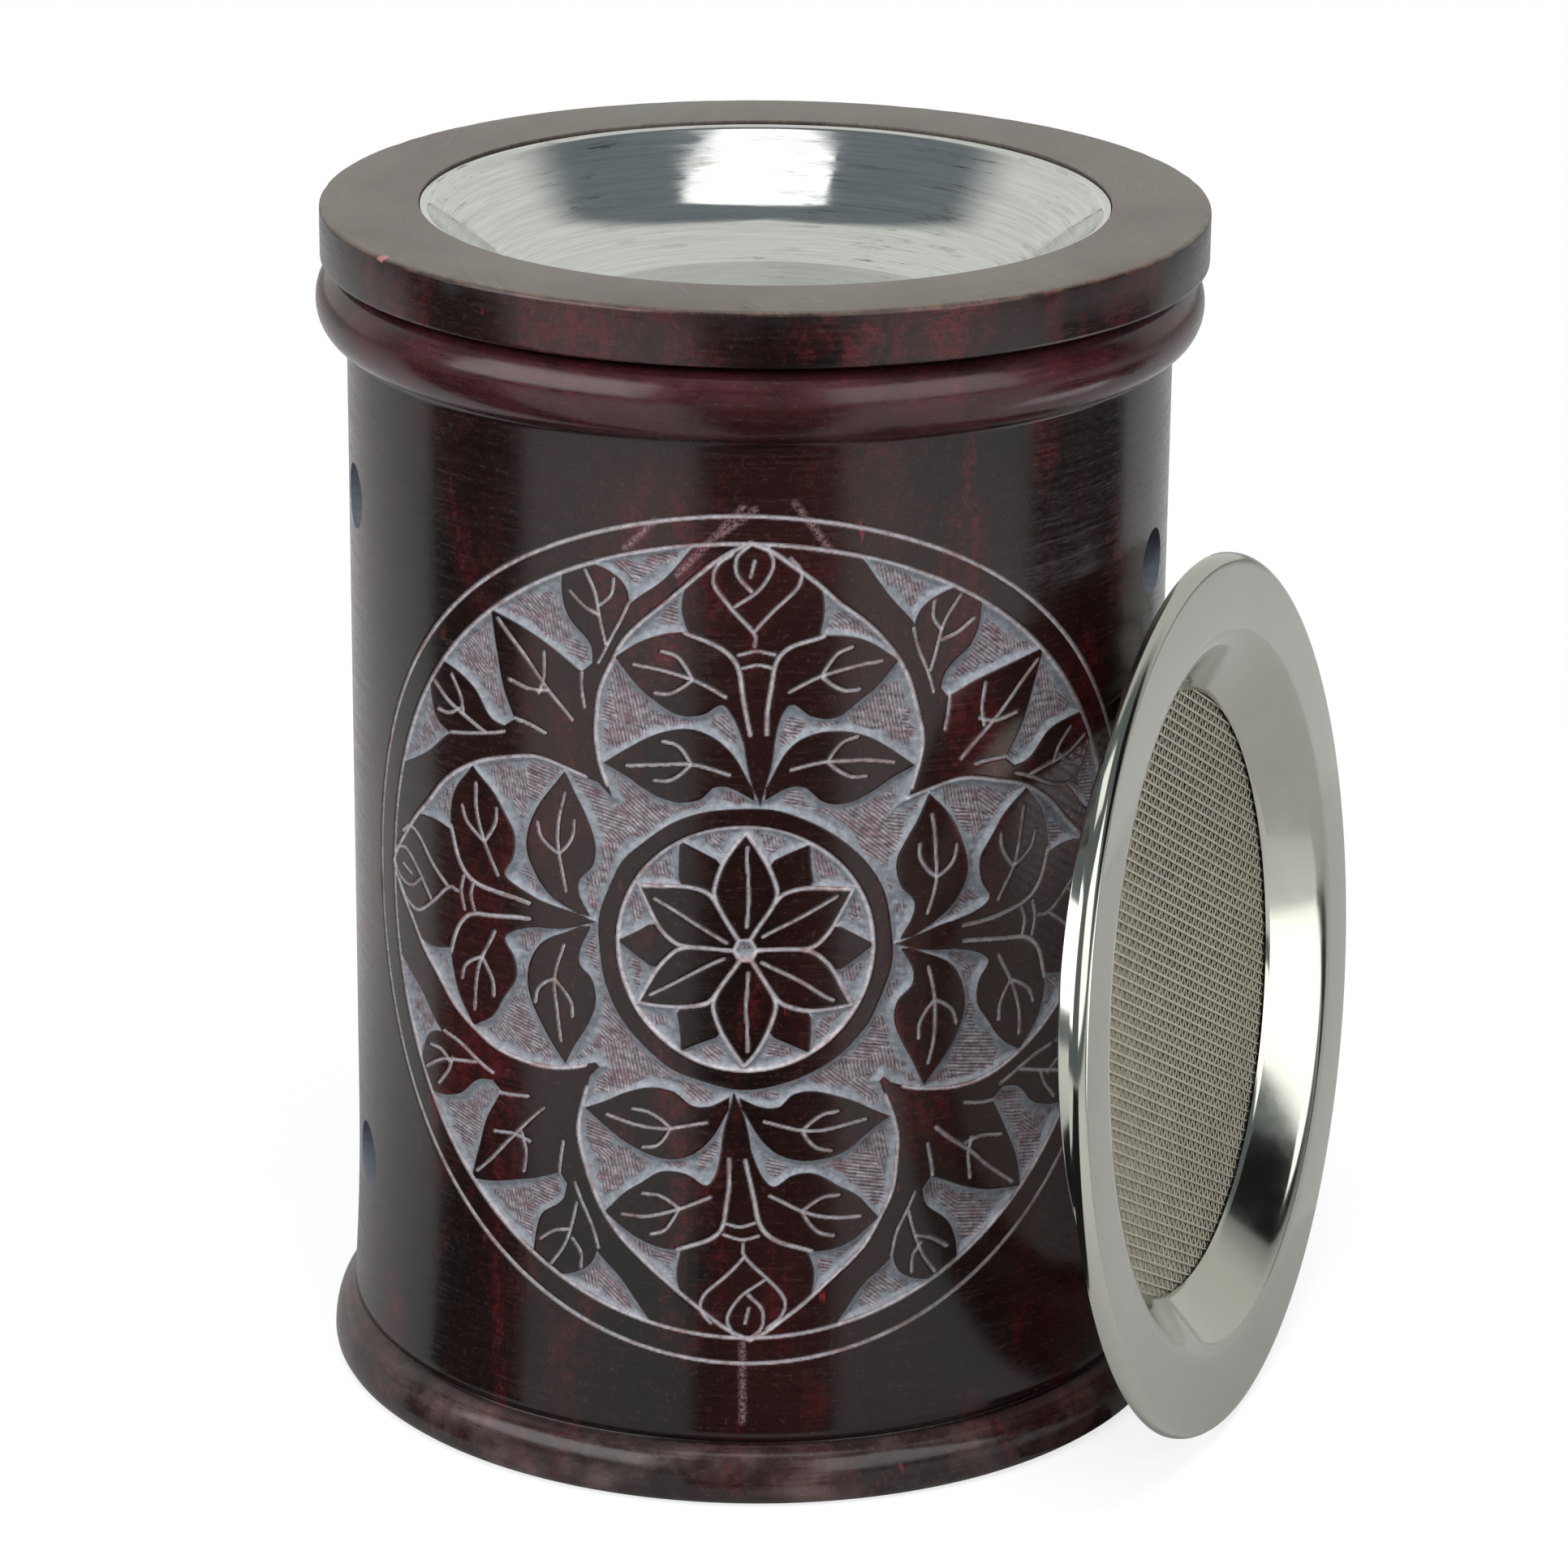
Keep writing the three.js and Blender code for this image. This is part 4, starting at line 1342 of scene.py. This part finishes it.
def white_floor():
    """White floor that shows as background to the camera and keeps the shadow near the object; to
    reflections and bounce light it is grey, with painted shadow near the object.
    """
    material, tree = blank("white_floor")
    shader = tree.nodes["Principled BSDF"]
    seen = seen_directly(tree)
    away = vector("LENGTH", add(tree, "TexCoord", {}, out=3), out=1)
    # Grey that reflections and bounce light see, darker towards the object: painted shadow round its foot
    reflected_grey_with_painted_shadow = ramp(away, 0.045, 0.16, 0.37, 0.5)
    dressed(material, {"Base Color": mix(seen, reflected_grey_with_painted_shadow, FLOOR_WHITE), "Roughness": 0.9})
    glow = add(tree, "Emission", {"Color": WHITE, "Strength": 1})
    share = times(seen, ramp(away, 0.09, 0.3, 0.78, 1))
    surface = after("MixShader", {0: share, 1: shader.outputs[0], 2: glow})
    feed(tree.nodes["Material Output"], {"Surface": surface})
    half = FLOOR_SIZE / 2
    corners = [(-half, -half, 0), (half, -half, 0), (half, half, 0), (-half, half, 0)]
    floor = build("floor", corners, [(0, 1, 2, 3)])
    floor.location.z = -FLOOR_DROP * MM
    floor.data.materials.append(material)


def card(name, corners, grey, glow=0):
    """Card that only reflections see: dark for a painted dark reflection, or glowing for a painted highlight
    or reflection.
    """
    material = dressed(blank(name)[0], {
        "Base Color": (grey, grey, grey, 1),
        "Roughness": 1,
        "Specular IOR Level": 0,
        "Emission Color": WHITE,
        "Emission Strength": glow,
    })
    piece = build(name, corners, [tuple(range(len(corners)))])
    piece.data.materials.append(material)
    piece.visible_camera = False
    piece.visible_diffuse = False
    piece.visible_shadow = False
    piece.visible_transmission = False


def upright(azimuth, distance, width, low, high):
    """Corners of an upright card that faces the object."""
    away = heading(azimuth)
    middle = distance * away
    side = width / 2 * np.array([-away[1], away[0]])
    first, second = middle - side, middle + side
    return [(*first, low), (*second, low), (*second, high), (*first, high)]


def sector(near, far, start, end, height):
    """Corners of a flat sector round the object."""
    inner = arc((0, 0), (near, near), start, end, 8)
    outer = arc((0, 0), (far, far), end, start, 8)
    return [(x, y, height) for x, y in np.vstack([inner, outer])]


def mirrored_floor(start, end, near, far):
    """Corners of the floor that the wall mirrors to the camera from one azimuth to another."""
    corners = []
    for azimuth, reach in ((start, near), (end, near), (end, far), (start, far)):
        normal = heading(azimuth)
        spot = WALL_RADIUS * normal
        sight = spot - np.array(CAMERA_PLACE[:2])
        ray = sight - 2 * (sight @ normal) * normal
        corners.append((*(spot + reach * ray / np.linalg.norm(ray)), STRIP_HEIGHT))
    return corners


def lamp(name, place, target, size, power):
    """Soft lamp that reflections don't see."""
    light = bpy.data.lights.new(name, "AREA")
    light.shape = "RECTANGLE"
    light.size, light.size_y = size
    light.energy = power
    piece = bpy.data.objects.new(name, light)
    piece.location = place
    piece.rotation_euler = (Vector(target) - Vector(place)).to_track_quat("-Z", "Y").to_euler()
    piece.visible_glossy = False
    bpy.context.scene.collection.objects.link(piece)


def room():
    """Dark room on the camera's side and a pale backdrop, white where it is seen directly."""
    world = bpy.data.worlds.new("studio")
    bpy.context.scene.world = world
    world.use_nodes = True
    tree = world.node_tree
    level = vector("MULTIPLY", add(tree, "TexCoord", {}), (1, 1, 0))
    behind = after("SeparateXYZ", {0: vector("NORMALIZE", level)}, out=1)
    light = mix(ramp(behind, 0.2, 0.58), DARK_ROOM, PALE_BACKDROP)
    feed(tree.nodes["Background"], {"Color": mix(seen_directly(tree), light, WHITE)})


def studio():
    """Floor, cards that paint dark reflections and highlights, lamps and room round the object."""
    white_floor()
    for name, (*place, grey) in PAINTED_DARK_STRIPS.items():
        card(name, mirrored_floor(*place), grey)
    for name, (*place, grey, glow) in UPRIGHT_REFLECTION_CARDS.items():
        card(name, upright(*place), grey, glow)
    # Glowing cards: painted reflections of lit floor and of the softbox, and a painted highlight in the
    # sieve
    card("sieve_painted_reflection", sector(*SIEVE_REFLECTION_SECTOR), 0, SIEVE_REFLECTION_SECTOR_GLOW)
    card("softbox_painted_reflection", SOFTBOX_REFLECTION, 0, SOFTBOX_GLOW)
    card("sieve_highlight_panel", SIEVE_HIGHLIGHT_PANEL, 0, SIEVE_PANEL_GLOW)
    for name, settings in LAMPS.items():
        lamp(name, *settings)
    room()
    bpy.context.scene.view_settings.view_transform = "Standard"


def camera():
    lens = bpy.data.cameras.new("camera")
    lens.sensor_fit = "HORIZONTAL"
    lens.sensor_width = CAMERA_SENSOR
    lens.lens = CAMERA_LENS
    lens.clip_start = 0.01
    piece = bpy.data.objects.new("camera", lens)
    turn = Matrix.Rotation(-math.radians(CAMERA_YAW), 4, "Z")
    tilt = Matrix.Rotation(math.pi / 2 - math.radians(CAMERA_PITCH), 4, "X")
    roll = Matrix.Rotation(math.radians(CAMERA_ROLL), 4, "Z")
    piece.matrix_world = Matrix.Translation(Vector(CAMERA_PLACE) * MM) @ turn @ tilt @ roll
    bpy.context.scene.collection.objects.link(piece)
    bpy.context.scene.camera = piece


camera()
studio()
stone_body()
lid_ring()
dish()
leaning = sieve_matrix()
steel = polished_steel()
sieve_frame(leaning, steel)
sieve_retaining_ring(leaning, steel)
sieve_mesh(leaning)
foil = thin_aluminium()
tealight_cup(foil)
tealight_wax()
wick_sustainer(foil)
tealight_wick()
